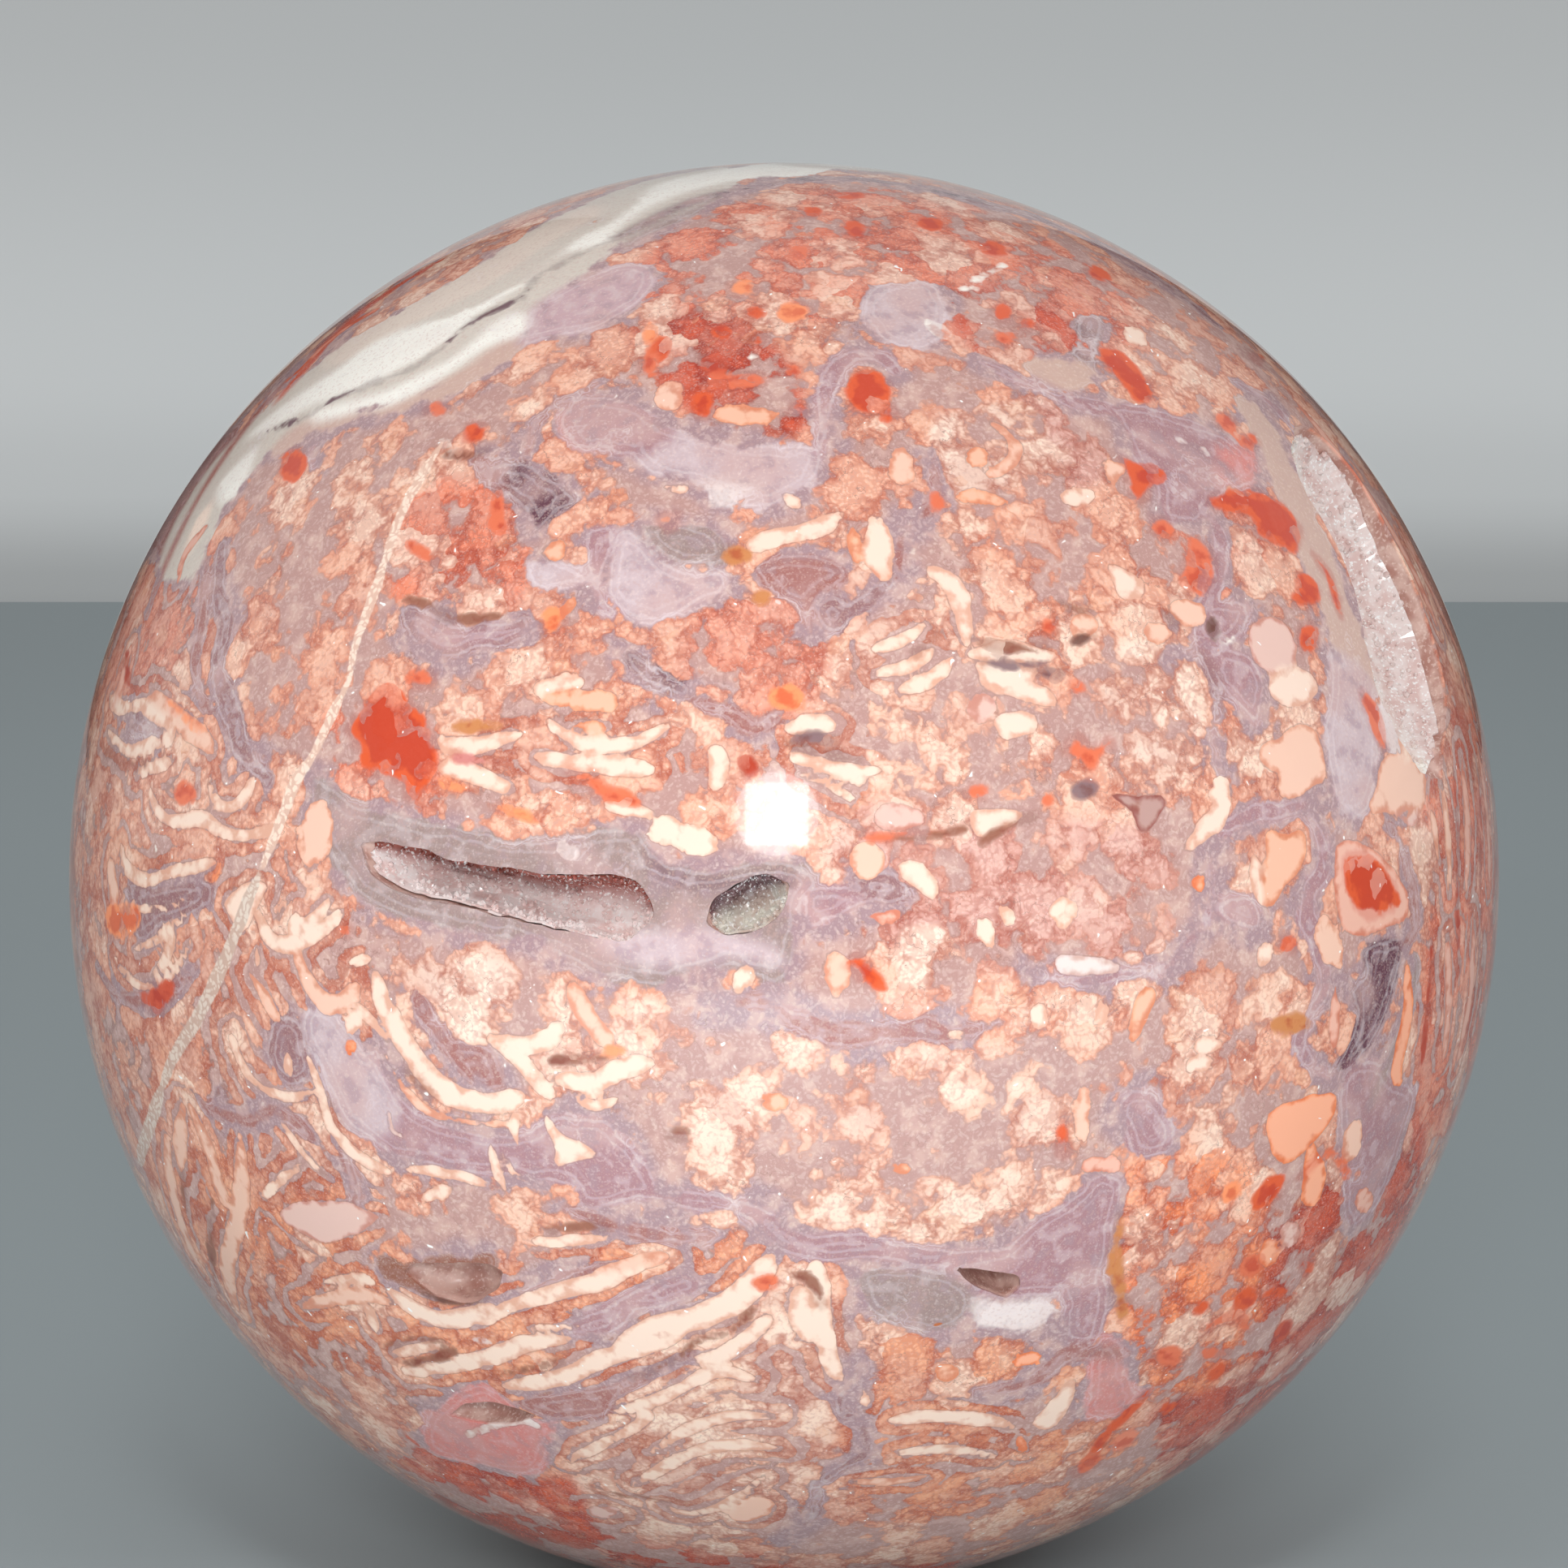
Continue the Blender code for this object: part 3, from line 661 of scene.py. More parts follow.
# Strips, edges of petals and noodles: half width in mm and path in pixels, by tone
STRIPS = {
    "cream": [
        (0.4, [(135, 860), (150, 873), (175, 868), (200, 885), (215, 905)]),
        (0.35, [(130, 900), (150, 920), (165, 925), (190, 918), (212, 912)]),
        (0.35, [(165, 955), (190, 945), (212, 938)]),
        (0.3, [(258, 960), (265, 985), (280, 995), (300, 985), (310, 962)]),
        (0.35, [(185, 975), (195, 1000), (215, 1012), (250, 1008), (270, 1022), (300, 1030),
            (335, 1022)]),
        (0.35, [(150, 1045), (155, 1070), (180, 1085), (210, 1075), (240, 1070), (265, 1062)]),
        (0.25, [(165, 1170), (190, 1160), (210, 1140), (228, 1130)]),
        (0.25, [(140, 1175), (150, 1195), (175, 1215), (200, 1210), (220, 1190), (235, 1160)]),
        (0.25, [(215, 1150), (205, 1180), (185, 1205)]),
        (0.3, [(317, 1170), (318, 1195)]),
        (0.28, [(285, 1278), (295, 1305), (310, 1330), (335, 1347), (360, 1352), (385, 1345)]),
        (0.3, [(380, 1305), (395, 1345), (405, 1380), (420, 1405), (450, 1430), (480, 1445)]),
        (0.25, [(345, 1380), (365, 1410), (385, 1435), (410, 1455)]),
        (0.3, [(375, 1435), (350, 1450), (325, 1475)]),
        (0.4, [(320, 1130), (330, 1155), (350, 1165), (380, 1155), (410, 1135), (420, 1125)]),
        (0.3, [(365, 1130), (362, 1145), (385, 1135), (405, 1110)]),
        (0.3, [(428, 1190), (460, 1178)]),
        (0.25, [(440, 1240), (460, 1260), (480, 1285)]),
        (0.3, [(400, 1580), (440, 1575), (460, 1580)]),
        (0.35, [(455, 1610), (463, 1640)]),
        (0.62, [(462, 1200), (480, 1255), (515, 1310), (550, 1345), (600, 1360), (640, 1350)]),
        (0.4, [(605, 1280), (635, 1300), (655, 1325), (680, 1350)]),
        (0.45, [(615, 1280), (650, 1287), (675, 1280), (688, 1265)]),
        (0.5, [(690, 1330), (730, 1335), (760, 1320), (800, 1310)]),
        (0.3, [(710, 1355), (735, 1362), (760, 1355)]),
        (0.2, [(620, 1420), (632, 1445), (650, 1455)]),
        (0.2, [(636, 1372), (633, 1390), (637, 1412)]),
        (0.3, [(500, 1440), (530, 1443), (570, 1450), (600, 1460)]),
        (0.3, [(660, 1530), (690, 1530), (750, 1525)]),
        (0.45, [(595, 1630), (620, 1612), (660, 1600), (700, 1588), (740, 1578), (780, 1560),
            (800, 1550)]),
        (0.15, [(655, 1636), (690, 1636), (720, 1632)]),
        (0.45, [(500, 1690), (560, 1682), (610, 1670), (650, 1655), (700, 1650)]),
        (0.6, [(625, 1708), (690, 1698), (740, 1675), (800, 1655), (860, 1625)]),
        (0.3, [(485, 1668), (520, 1660), (550, 1655)]),
        (0.7, [(950, 1550), (920, 1590), (870, 1620), (810, 1635), (760, 1660)]),
        (0.4, [(945, 1625), (920, 1650), (890, 1670), (860, 1675)]),
        (0.55, [(1005, 1560), (1010, 1600), (1015, 1640), (1025, 1680), (1035, 1700)]),
        (0.6, [(985, 1590), (990, 1620), (1000, 1650)]),
        (0.35, [(800, 1790), (850, 1760), (900, 1745), (950, 1745)]),
        (0.35, [(780, 1830), (840, 1795), (900, 1780), (960, 1785)]),
        (0.3, [(820, 1855), (850, 1865), (900, 1850), (940, 1820)]),
        (0.35, [(760, 1740), (820, 1720), (880, 1690), (930, 1700)]),
        (0.35, [(700, 1800), (740, 1780), (780, 1760), (800, 1740)]),
        (0.4, [(1100, 1750), (1150, 1745), (1220, 1750), (1250, 1760)]),
        (0.35, [(1110, 1790), (1170, 1785), (1230, 1795)]),
        (0.4, [(1545, 1060), (1555, 1110)]),
        (0.3, [(749, 991), (780, 998), (805, 1004)]),
        (0.45, [(545, 945), (575, 950), (610, 965), (625, 970)]),
        (0.4, [(880, 925), (885, 945), (880, 970)]),
        (0.45, [(925, 672), (960, 660), (1000, 652), (1035, 635)]),
        (0.35, [(1080, 800), (1110, 790), (1140, 770)]),
        (0.35, [(1080, 830), (1120, 820), (1150, 800)]),
        (0.35, [(1110, 850), (1150, 835), (1175, 810)]),
        (0.2, [(170, 1120), (200, 1118), (230, 1108)]),
    ],
    "peach": [
        (0.5, [(185, 850), (215, 880), (245, 905), (262, 925)]),
        (0.6, [(135, 1065), (140, 1095), (140, 1130)]),
        (0.35, [(303, 1195), (325, 1225), (340, 1255)]),
        (0.6, [(297, 1400), (297, 1480), (285, 1530), (280, 1570), (290, 1610)]),
        (0.45, [(235, 1365), (255, 1410), (270, 1460), (275, 1480)]),
        (0.6, [(225, 1365), (222, 1440)]),
        (0.5, [(365, 1175), (380, 1210), (400, 1235), (420, 1235), (440, 1215)]),
        (0.5, [(205, 1400), (208, 1440), (218, 1490), (235, 1540), (250, 1570)]),
        (0.4, [(370, 1610), (410, 1600), (450, 1595), (480, 1605)]),
        (0.2, [(470, 1290), (485, 1320), (500, 1345), (530, 1370), (570, 1382), (620, 1385)]),
        (0.5, [(705, 1215), (725, 1255), (750, 1285)]),
        (0.3, [(740, 1565), (790, 1555), (820, 1548)]),
        (0.35, [(1050, 1825), (1100, 1825), (1140, 1820)]),
        (0.45, [(1075, 640), (1085, 690), (1090, 710)]),
        (0.35, [(1220, 520), (1250, 545), (1245, 570), (1220, 585)]),
        (0.35, [(1775, 960), (1785, 1040), (1785, 1100)]),
        (0.3, [(1765, 1000), (1772, 1060)]),
    ],
    "petal": [
        (0.3, [(355, 1300), (355, 1325)]),
        (0.25, [(605, 1412), (612, 1440), (622, 1465)]),
        (0.5, [(480, 1590), (510, 1612), (545, 1626), (580, 1622), (605, 1608)]),
        (0.5, [(1462, 1045), (1485, 1022), (1500, 1008), (1506, 985)]),
        (0.35, [(677, 889), (713, 914), (754, 919), (790, 912), (823, 894)]),
        (0.4, [(662, 932), (703, 940), (751, 942), (802, 948)]),
        (0.4, [(545, 915), (575, 920), (605, 915), (637, 904)]),
        (0.5, [(1145, 700), (1170, 715), (1185, 745), (1190, 790)]),
        (0.35, [(975, 935), (1010, 945), (1050, 955), (1060, 965)]),
        (0.3, [(985, 955), (1020, 965), (1050, 985)]),
        (0.35, [(985, 893), (1010, 890), (1025, 893)]),
        (0.45, [(1210, 806), (1250, 803), (1290, 808)]),
        (0.5, [(1210, 830), (1240, 838), (1270, 848)]),
    ],
    "pale_lilac": [
        (0.15, [(480, 1370), (482, 1390), (495, 1402)]),
        (0.35, [(570, 1770), (600, 1760), (640, 1750), (665, 1760)]),
    ],
    "peach_orange": [
        (0.5, [(1395, 1280), (1410, 1240), (1415, 1225)]),
        (0.35, [(1050, 650), (1055, 690)]),
    ],
    "orange": [
        (0.3, [(1255, 1770), (1262, 1790)]),
        (0.55, [(1733, 1195), (1735, 1240), (1728, 1280), (1720, 1320), (1725, 1335)]),
    ],
    "salmon": [
        (0.5, [(1783, 1160), (1785, 1220), (1780, 1300)]),
        (0.35, [(1645, 1215), (1643, 1290)]),
        (0.3, [(219, 720), (225, 690), (240, 665), (256, 648)]),
        (0.45, [(160, 800), (150, 840), (140, 870)]),
        (0.5, [(1600, 500), (1650, 560), (1700, 630), (1740, 700), (1770, 770)]),
        (0.5, [(1720, 640), (1760, 720), (1795, 800), (1815, 870)]),
        (0.45, [(1820, 920), (1832, 1000), (1835, 1080)]),
        (0.45, [(1800, 930), (1808, 1020), (1806, 1100)]),
        (0.45, [(1815, 1130), (1812, 1220), (1795, 1310)]),
    ],
    "terracotta": [
        (0.35, [(345, 475), (370, 455), (400, 425), (440, 395), (470, 380)]),
        (0.3, [(480, 355), (520, 325), (560, 300)]),
    ],
}

# Ovals and lumps: middle, half axes and turn, in pixels and degrees, by tone
OVALS = {
    "cream": [(690, 845, 32, 14, -10), (820, 1025, 22, 20, 0), (860, 1040, 30, 16, 10),
        (1085, 670, 20, 34, 0), (1740, 912, 18, 24, 0), (1310, 1125, 10, 18, 0),
        (1218, 1155, 10, 20, -20), (1240, 1125, 8, 16, -20), (1557, 1175, 12, 20, 0),
        (1280, 1255, 10, 16, 0), (1180, 1275, 12, 8, 0), (1490, 1288, 18, 10, 0), (1360, 1245, 8, 15, 0),
        (1480, 1310, 16, 10, 0), (915, 1210, 9, 18, 20), (1400, 413, 16, 10, 20), (935, 508, 30, 8, 0),
        (725, 1350, 22, 8, 0), (435, 1262, 9, 14, 10), (540, 1470, 22, 9, -15), (1065, 1722, 10, 14, 0)],
    "peach_orange": [(715, 863, 48, 15, 4), (725, 895, 24, 8, 4), (682, 679, 16, 12, -30),
        (700, 750, 10, 22, 40), (1100, 568, 9, 18, 0), (1205, 560, 14, 10, 0), (1210, 614, 34, 8, 5),
        (1165, 1690, 14, 10, 0), (955, 1357, 14, 10, 0), (1110, 1440, 16, 12, 0), (920, 512, 46, 15, 0)],
    "petal": [(1010, 650, 26, 12, -20), (1319, 612, 22, 10, 0), (1505, 975, 13, 18, 0)],
    "peach": [(1110, 570, 16, 26, 0), (1335, 770, 16, 14, 0), (1460, 755, 22, 16, 0),
        (1430, 780, 18, 12, 0), (1335, 1370, 14, 38, 0), (1030, 1200, 22, 34, 0), (1065, 1060, 20, 20, 0),
        (822, 490, 17, 17, 0), (1375, 582, 15, 16, 30), (388, 1025, 22, 42, 10), (1665, 1405, 13, 26, 15),
        (1640, 1165, 14, 34, -20), (930, 1860, 28, 14, -20)],
    "pink": [(1210, 870, 14, 16, 0), (1735, 1008, 14, 10, 0), (1110, 1010, 30, 12, 0),
        (1588, 1520, 13, 18, 0), (745, 1863, 20, 8, 0)],
    "orange": [(1475, 1088, 13, 17, 0), (1268, 1674, 20, 11, -15), (433, 1290, 8, 10, 0),
        (1565, 1540, 10, 17, 0)],
    "salmon": [(1355, 1435, 24, 12, 0), (1085, 1130, 30, 12, -10), (1680, 1480, 12, 18, 20)],
    "ochre": [(1160, 1632, 18, 5, 0)],
}

# Plates, petals and flakes with corners: tone and outline
PLATES = [
    ("petal", [(968, 895), (985, 887), (1025, 885), (1030, 900), (1000, 903), (975, 905)]),
    ("petal", [(975, 925), (1000, 928), (1030, 935), (1060, 942), (1085, 950), (1060, 955), (1040, 965),
        (1000, 950), (975, 940)]),
    ("petal", [(1195, 800), (1250, 797), (1300, 803), (1290, 815), (1250, 817), (1200, 812)]),
    ("petal", [(1205, 815), (1250, 820), (1280, 825), (1270, 840), (1290, 850), (1300, 870),
        (1250, 860), (1215, 850), (1205, 830)]),
    ("petal", [(1225, 890), (1250, 875), (1275, 880), (1275, 900), (1240, 912)]),
    ("petal", [(1367, 697), (1385, 702), (1408, 715), (1405, 735), (1385, 738), (1375, 720)]),
    ("pink", [(1540, 780), (1555, 760), (1580, 765), (1595, 790), (1600, 800), (1590, 830), (1570, 830),
        (1545, 815)]),
    ("petal", [(1562, 840), (1575, 825), (1600, 820), (1620, 835), (1625, 855), (1605, 868),
        (1580, 868), (1565, 858)]),
    ("cream", [(537, 905), (560, 912), (600, 908), (642, 903), (620, 918), (600, 928), (570, 932),
        (545, 925)]),
    ("cream", [(673, 1375), (690, 1395), (705, 1405), (730, 1415), (732, 1425), (710, 1430), (697, 1432),
        (690, 1437), (682, 1430), (685, 1415), (675, 1395)]),
    ("peach", [(1555, 920), (1580, 905), (1600, 895), (1620, 900), (1632, 930), (1632, 965), (1615, 975),
        (1590, 985), (1575, 975), (1575, 955), (1555, 940)]),
    ("peach", [(1700, 940), (1720, 930), (1755, 950), (1755, 985), (1745, 1000), (1690, 1000),
        (1695, 970)]),
    ("peach_orange", [(1560, 1030), (1570, 1022), (1580, 1028), (1605, 1025), (1608, 1050), (1600, 1075),
        (1585, 1090), (1575, 1110), (1565, 1120), (1555, 1110), (1555, 1080), (1562, 1060)]),
    ("salmon", [(1645, 1045), (1660, 1035), (1680, 1040), (1700, 1055), (1730, 1090), (1735, 1110),
        (1730, 1135), (1700, 1145), (1680, 1155), (1660, 1150), (1650, 1130), (1645, 1090)]),
    ("orange", [(1560, 1375), (1580, 1360), (1640, 1345), (1645, 1365), (1635, 1385), (1600, 1425),
        (1580, 1435), (1565, 1420)]),
    ("orange", [(1612, 1410), (1622, 1415), (1635, 1440), (1630, 1470), (1620, 1485), (1605, 1485),
        (1602, 1460)]),
    ("mauve", [(1370, 980), (1400, 980), (1430, 980), (1435, 995), (1420, 1020), (1405, 1025),
        (1395, 1000)]),
    ("petal", [(1195, 1005), (1215, 995), (1265, 1000), (1250, 1015), (1215, 1030), (1200, 1025)]),
    ("petal", [(1108, 1065), (1135, 1065), (1155, 1090), (1155, 1105), (1145, 1105), (1120, 1085)]),
    ("pale_lilac", [(1305, 1175), (1375, 1185), (1370, 1200), (1310, 1200)]),
    ("petal", [(818, 598), (850, 598), (842, 611), (825, 607)]),
    ("petal", [(962, 610), (975, 607), (988, 615), (985, 628), (972, 625)]),
    ("pink", [(345, 1495), (370, 1480), (420, 1480), (450, 1490), (470, 1500), (440, 1520), (400, 1530),
        (365, 1515)]),
    ("cream", [(1270, 1755), (1300, 1720), (1320, 1700), (1325, 1720), (1300, 1760)]),
    ("cream", [(275, 1110), (290, 1095), (310, 1085), (330, 1090), (320, 1110), (305, 1140), (295, 1150),
        (280, 1125)]),
]

# Stains, dark lines and white flecks: half width in mm and path in pixels, by tone
LINES = {
    "red": [
        (0.3, [(1042, 1192), (1055, 1185), (1072, 1203), (1083, 1215)]),
        (0.3, [(1618, 686), (1632, 700), (1642, 722), (1648, 745), (1652, 758)]),
        (0.4, [(1420, 1710), (1390, 1740), (1360, 1770), (1350, 1790)]),
        (0.25, [(1550, 1600), (1575, 1590), (1600, 1600)]),
    ],
    "ochre": [
        (0.35, [(1380, 1500), (1375, 1560), (1385, 1620)]),
        (0.2, [(560, 897), (592, 896), (624, 894)]),
    ],
    "terracotta": [
        (0.55, [(1680, 858), (1692, 880), (1698, 900), (1705, 920)]),
        (0.2, [(1060, 1030), (1110, 1032), (1160, 1026)]),
        (0.3, [(705, 955), (730, 962), (745, 978), (790, 990)]),
        (0.25, [(505, 670), (525, 685), (540, 692)]),
        (0.25, [(615, 610), (612, 640), (620, 655)]),
        (0.3, [(1480, 1640), (1520, 1620), (1540, 1640)]),
        (0.3, [(1600, 1450), (1640, 1420), (1660, 1450)]),
    ],
    "deep_red": [
        (0.18, [(1762, 1150), (1765, 1190), (1760, 1230), (1755, 1280), (1752, 1310)]),
        (0.18, [(1790, 950), (1797, 1040), (1795, 1120), (1798, 1200)]),
        (0.15, [(1822, 960), (1824, 1080), (1822, 1180), (1806, 1280)]),
        (0.3, [(575, 1740), (600, 1735), (630, 1737)]),
        (0.2, [(155, 805), (158, 835), (170, 848)]),
    ],
    "brown": [
        (0.15, [(610, 1697), (640, 1690), (680, 1680), (700, 1665)]),
        (0.15, [(500, 1680), (540, 1672), (560, 1662)]),
        (0.2, [(470, 1660), (500, 1650), (545, 1652)]),
        (0.15, [(930, 1610), (900, 1640), (860, 1650), (840, 1670), (800, 1690), (780, 1700)]),
        (0.16, [(975, 1570), (1000, 1580), (1015, 1610)]),
        (0.15, [(740, 1840), (800, 1845), (850, 1852)]),
        (0.16, [(1100, 1035), (1150, 1030), (1190, 1020)]),
        (0.15, [(1210, 1035), (1250, 1015), (1275, 1005)]),
        (0.2, [(680, 1307), (715, 1305), (748, 1303)]),
        (0.18, [(670, 1515), (710, 1512), (750, 1512)]),
        (0.22, [(262, 1480), (260, 1520), (262, 1560), (270, 1590)]),
        (0.2, [(225, 1440), (228, 1490)]),
        (0.18, [(502, 1322), (518, 1338), (532, 1352)]),
        (0.2, [(125, 920), (145, 935), (160, 942), (185, 940)]),
        (0.15, [(500, 738), (530, 745), (550, 760), (580, 762), (620, 758)]),
        (0.15, [(545, 558), (575, 562), (600, 556)]),
        (0.15, [(1200, 790), (1240, 798), (1290, 800)]),
        (0.2, [(1305, 745), (1325, 750), (1340, 752)]),
        (0.2, [(1440, 755), (1446, 770)]),
        (0.15, [(1125, 805), (1145, 792), (1155, 780)]),
    ],
    "dark_brown": [
        (0.16, [(970, 918), (1000, 922), (1035, 932), (1055, 938)]),
        (0.12, [(1322, 790), (1345, 784)]),
        (0.25, [(1494, 765), (1497, 785)]),
        (0.2, [(520, 1592), (535, 1600), (560, 1600), (585, 1602), (600, 1592)]),
    ],
    "grey": [
        (0.3, [(975, 912), (1005, 910), (1030, 918)]),
        (0.15, [(1212, 816), (1250, 820), (1290, 816)]),
        (0.2, [(1280, 826), (1300, 832), (1310, 826)]),
    ],
    "orange": [
        (0.18, [(205, 862), (230, 885), (255, 905)]),
        (0.25, [(542, 963), (558, 968), (575, 973)]),
        (0.2, [(611, 993), (636, 1002), (662, 1011)]),
        (0.3, [(272, 1060), (262, 1085)]),
    ],
    "mauve_pink": [
        (0.2, [(560, 932), (585, 936), (611, 940)]),
    ],
    "white": [
        (0.2, [(1180, 358), (1204, 356)]),
        (0.2, [(1202, 345), (1238, 327)]),
        (0.3, [(1140, 395), (1152, 405), (1165, 415)]),
        (0.16, [(1340, 1860), (1370, 1840)]),
    ],
    "pale_lilac": [
        (0.2, [(1450, 540), (1462, 546)]),
        (0.18, [(1480, 552), (1488, 558)]),
        (0.18, [(690, 1040), (700, 1052), (706, 1050)]),
    ],
    "dark_purple": [
        (0.13, [(331, 530), (372, 517), (410, 493), (472, 468), (511, 452), (542, 430), (580, 397),
            (640, 368), (664, 340), (700, 322), (759, 292)]),
    ],
}

# Stains and flecks with a body: middle, half axes and turn, in pixels and degrees, by tone
SPOTS = {
    "red": [(1000, 261, 12, 6, 0), (1045, 240, 20, 5, 0), (1055, 282, 17, 11, 10), (1147, 275, 14, 8, 10),
        (1223, 305, 16, 9, 15), (1352, 338, 17, 9, 30), (888, 408, 13, 8, 0), (937, 418, 9, 8, 0),
        (868, 500, 14, 18, 0), (985, 505, 12, 9, 0), (1070, 482, 27, 27, 0), (1093, 508, 10, 12, 0),
        (584, 532, 13, 13, 0), (361, 572, 16, 21, 20), (1235, 385, 12, 12, 0), (1265, 400, 10, 9, 0),
        (1543, 545, 8, 10, 0), (1550, 442, 7, 6, 0), (1502, 624, 12, 8, 0), (1612, 785, 14, 20, 10),
        (1310, 1405, 8, 22, 0), (1587, 1163, 11, 11, 0), (1535, 1600, 18, 12, -40),
        (1610, 1560, 10, 10, 0), (1500, 1690, 14, 8, -40), (1440, 1735, 16, 7, -40),
        (1480, 1610, 12, 8, -40), (815, 430, 10, 14, 0), (930, 385, 12, 9, 0)],
    "terracotta": [(985, 312, 9, 8, 0), (975, 457, 10, 7, 0), (910, 468, 40, 12, 0),
        (800, 450, 12, 16, 0), (538, 505, 15, 11, 0), (1240, 415, 14, 10, 0), (1432, 650, 16, 12, 40),
        (1510, 520, 14, 10, 30), (1535, 545, 12, 8, 30), (1292, 773, 11, 10, 0), (1329, 846, 10, 10, 0),
        (518, 835, 18, 12, 0), (1155, 620, 10, 14, 0), (1290, 985, 8, 8, 0), (426, 1145, 9, 9, 0),
        (230, 978, 15, 12, 0), (1205, 975, 15, 10, 0), (1495, 1668, 20, 10, 0), (1440, 1672, 20, 14, 0),
        (945, 1580, 16, 10, 0), (1340, 1805, 20, 9, -35), (1540, 1560, 16, 12, -40)],
    "orange": [(915, 355, 20, 12, 0), (978, 385, 18, 12, 0), (800, 410, 8, 14, 0), (822, 642, 15, 12, 0),
        (682, 766, 14, 18, 20), (969, 858, 20, 16, 0), (755, 1295, 12, 7, 0), (1515, 1470, 13, 10, -30)],
    "ochre": [(1590, 1262, 26, 10, 0), (906, 684, 15, 12, 0), (935, 737, 11, 8, 0)],
    "deep_red": [(925, 945, 10, 13, -20)],
    "grey": [(1335, 972, 14, 10, 0)],
    "brown": [(835, 1395, 14, 8, 0)],
    "white": [(547, 545, 10, 9, 0), (805, 525, 5, 4, 0), (1125, 678, 7, 6, 0), (1527, 732, 6, 5, 0),
        (1517, 790, 6, 5, 0), (928, 440, 9, 7, 0), (192, 1045, 4, 12, -10)],
    "pale_lilac": [(590, 1652, 14, 5, 0)],
    "coral": [(1385, 1775, 22, 9, -35)],
    "rust": [(1580, 1640, 16, 9, -50), (880, 450, 22, 12, 10)],
}

# The healed crack: a fracture filled with pale quartz, from the top left to the left edge
CRACK = [
    ("pale_cream", 0.27, [(545, 545), (520, 585), (491, 640), (466, 717), (450, 760), (437, 800), (430, 839)]),
    ("pale_cream", 0.3, [(430, 839), (405, 890), (383, 935), (366, 960), (350, 1000), (335, 1040),
        (318, 1080)]),
    ("beige", 0.42, [(318, 1080), (305, 1110), (290, 1150), (270, 1200), (240, 1260), (215, 1300),
        (200, 1340)]),
    ("beige", 0.5, [(200, 1340), (190, 1370), (180, 1400), (172, 1435)]),
]

STAIN_OUTLINES = [
    ("red", [(427, 902), (437, 881), (465, 853), (481, 846), (506, 866), (532, 891), (537, 927),
        (537, 948), (519, 978), (506, 988), (496, 963), (475, 958), (447, 945), (442, 922)]),
    ("red", [(1357, 433), (1374, 431), (1398, 450), (1417, 474), (1420, 489), (1403, 494), (1386, 477),
        (1364, 453)]),
    ("red", [(1489, 612), (1530, 606), (1545, 603), (1565, 612), (1585, 625), (1600, 645), (1603, 665),
        (1595, 682), (1575, 672), (1555, 665), (1540, 655), (1545, 640), (1520, 632), (1495, 628)]),
    ("red", [(1383, 560), (1400, 570), (1425, 575), (1432, 585), (1420, 600), (1408, 617), (1395, 610),
        (1385, 580)]),
    ("terracotta", [(1465, 660), (1480, 665), (1495, 680), (1497, 710), (1485, 730), (1465, 727),
        (1450, 715), (1460, 690)]),
    ("red", [(1600, 708), (1612, 710), (1624, 728), (1620, 745), (1592, 744), (1598, 725)]),
    ("terracotta", [(1310, 925), (1330, 905), (1345, 920), (1365, 905), (1375, 915), (1355, 935),
        (1345, 950), (1325, 935)]),
    ("red", [(1545, 1480), (1560, 1455), (1580, 1445), (1585, 1455), (1570, 1480), (1550, 1490)]),
    ("orange", [(132, 1115), (170, 1120), (165, 1150), (135, 1155)]),
    ("rust", [(170, 1225), (215, 1205), (205, 1240), (195, 1255)]),
    ("red", [(1655, 1060), (1680, 1050), (1715, 1085), (1725, 1115), (1690, 1130), (1665, 1110)]),
]

OVAL_POINTS = 10
CURVE_STEPS = 3
REACH = 1.6
STRIP_FRAY = 0.35
PATCH_FRAY = 0.8
BLEND = 0.35
SHARP = 0.06
FAINT = 0.001


def rounded(points, closed):
    """Points along a Catmull-Rom curve through the given ones."""
    count = len(points)
    fine = []
    for i in range(count if closed else count - 1):
        ends = [(i + k) % count if closed else min(max(i + k, 0), count - 1) for k in (-1, 0, 1, 2)]
        a, b, c, d = (points[e] for e in ends)
        for step in range(CURVE_STEPS):
            t = step / CURVE_STEPS
            bend = b * 2 + (c - a) * t + (a * 2 - b * 5 + c * 4 - d) * t * t + (b * 3 - a - c * 3 + d) * t**3
            fine.append(bend / 2)
    if not closed:
        fine.append(points[-1])
    return fine


def oval(x, y, half_x, half_y, turn):
    """The outline of an oval on the photograph."""
    cos_turn = math.cos(math.radians(turn))
    sin_turn = math.sin(math.radians(turn))
    points = []
    for k in range(OVAL_POINTS):
        angle = 2 * math.pi * k / OVAL_POINTS
        across = half_x * math.cos(angle)
        down = half_y * math.sin(angle)
        points.append((x + across * cos_turn - down * sin_turn, y + across * sin_turn + down * cos_turn))
    return points


def laid(points):
    """Pixels of the photograph as places on the stone, in millimetres."""
    return [on_stone(x, y) for x, y in points]


def colour_of(tone):
    """A tone as linear light."""
    shares = np.array(TONES[tone]) / 255
    return np.where(shares <= 0.04045, shares / 12.92, ((shares + 0.055) / 1.055) ** 2.4)


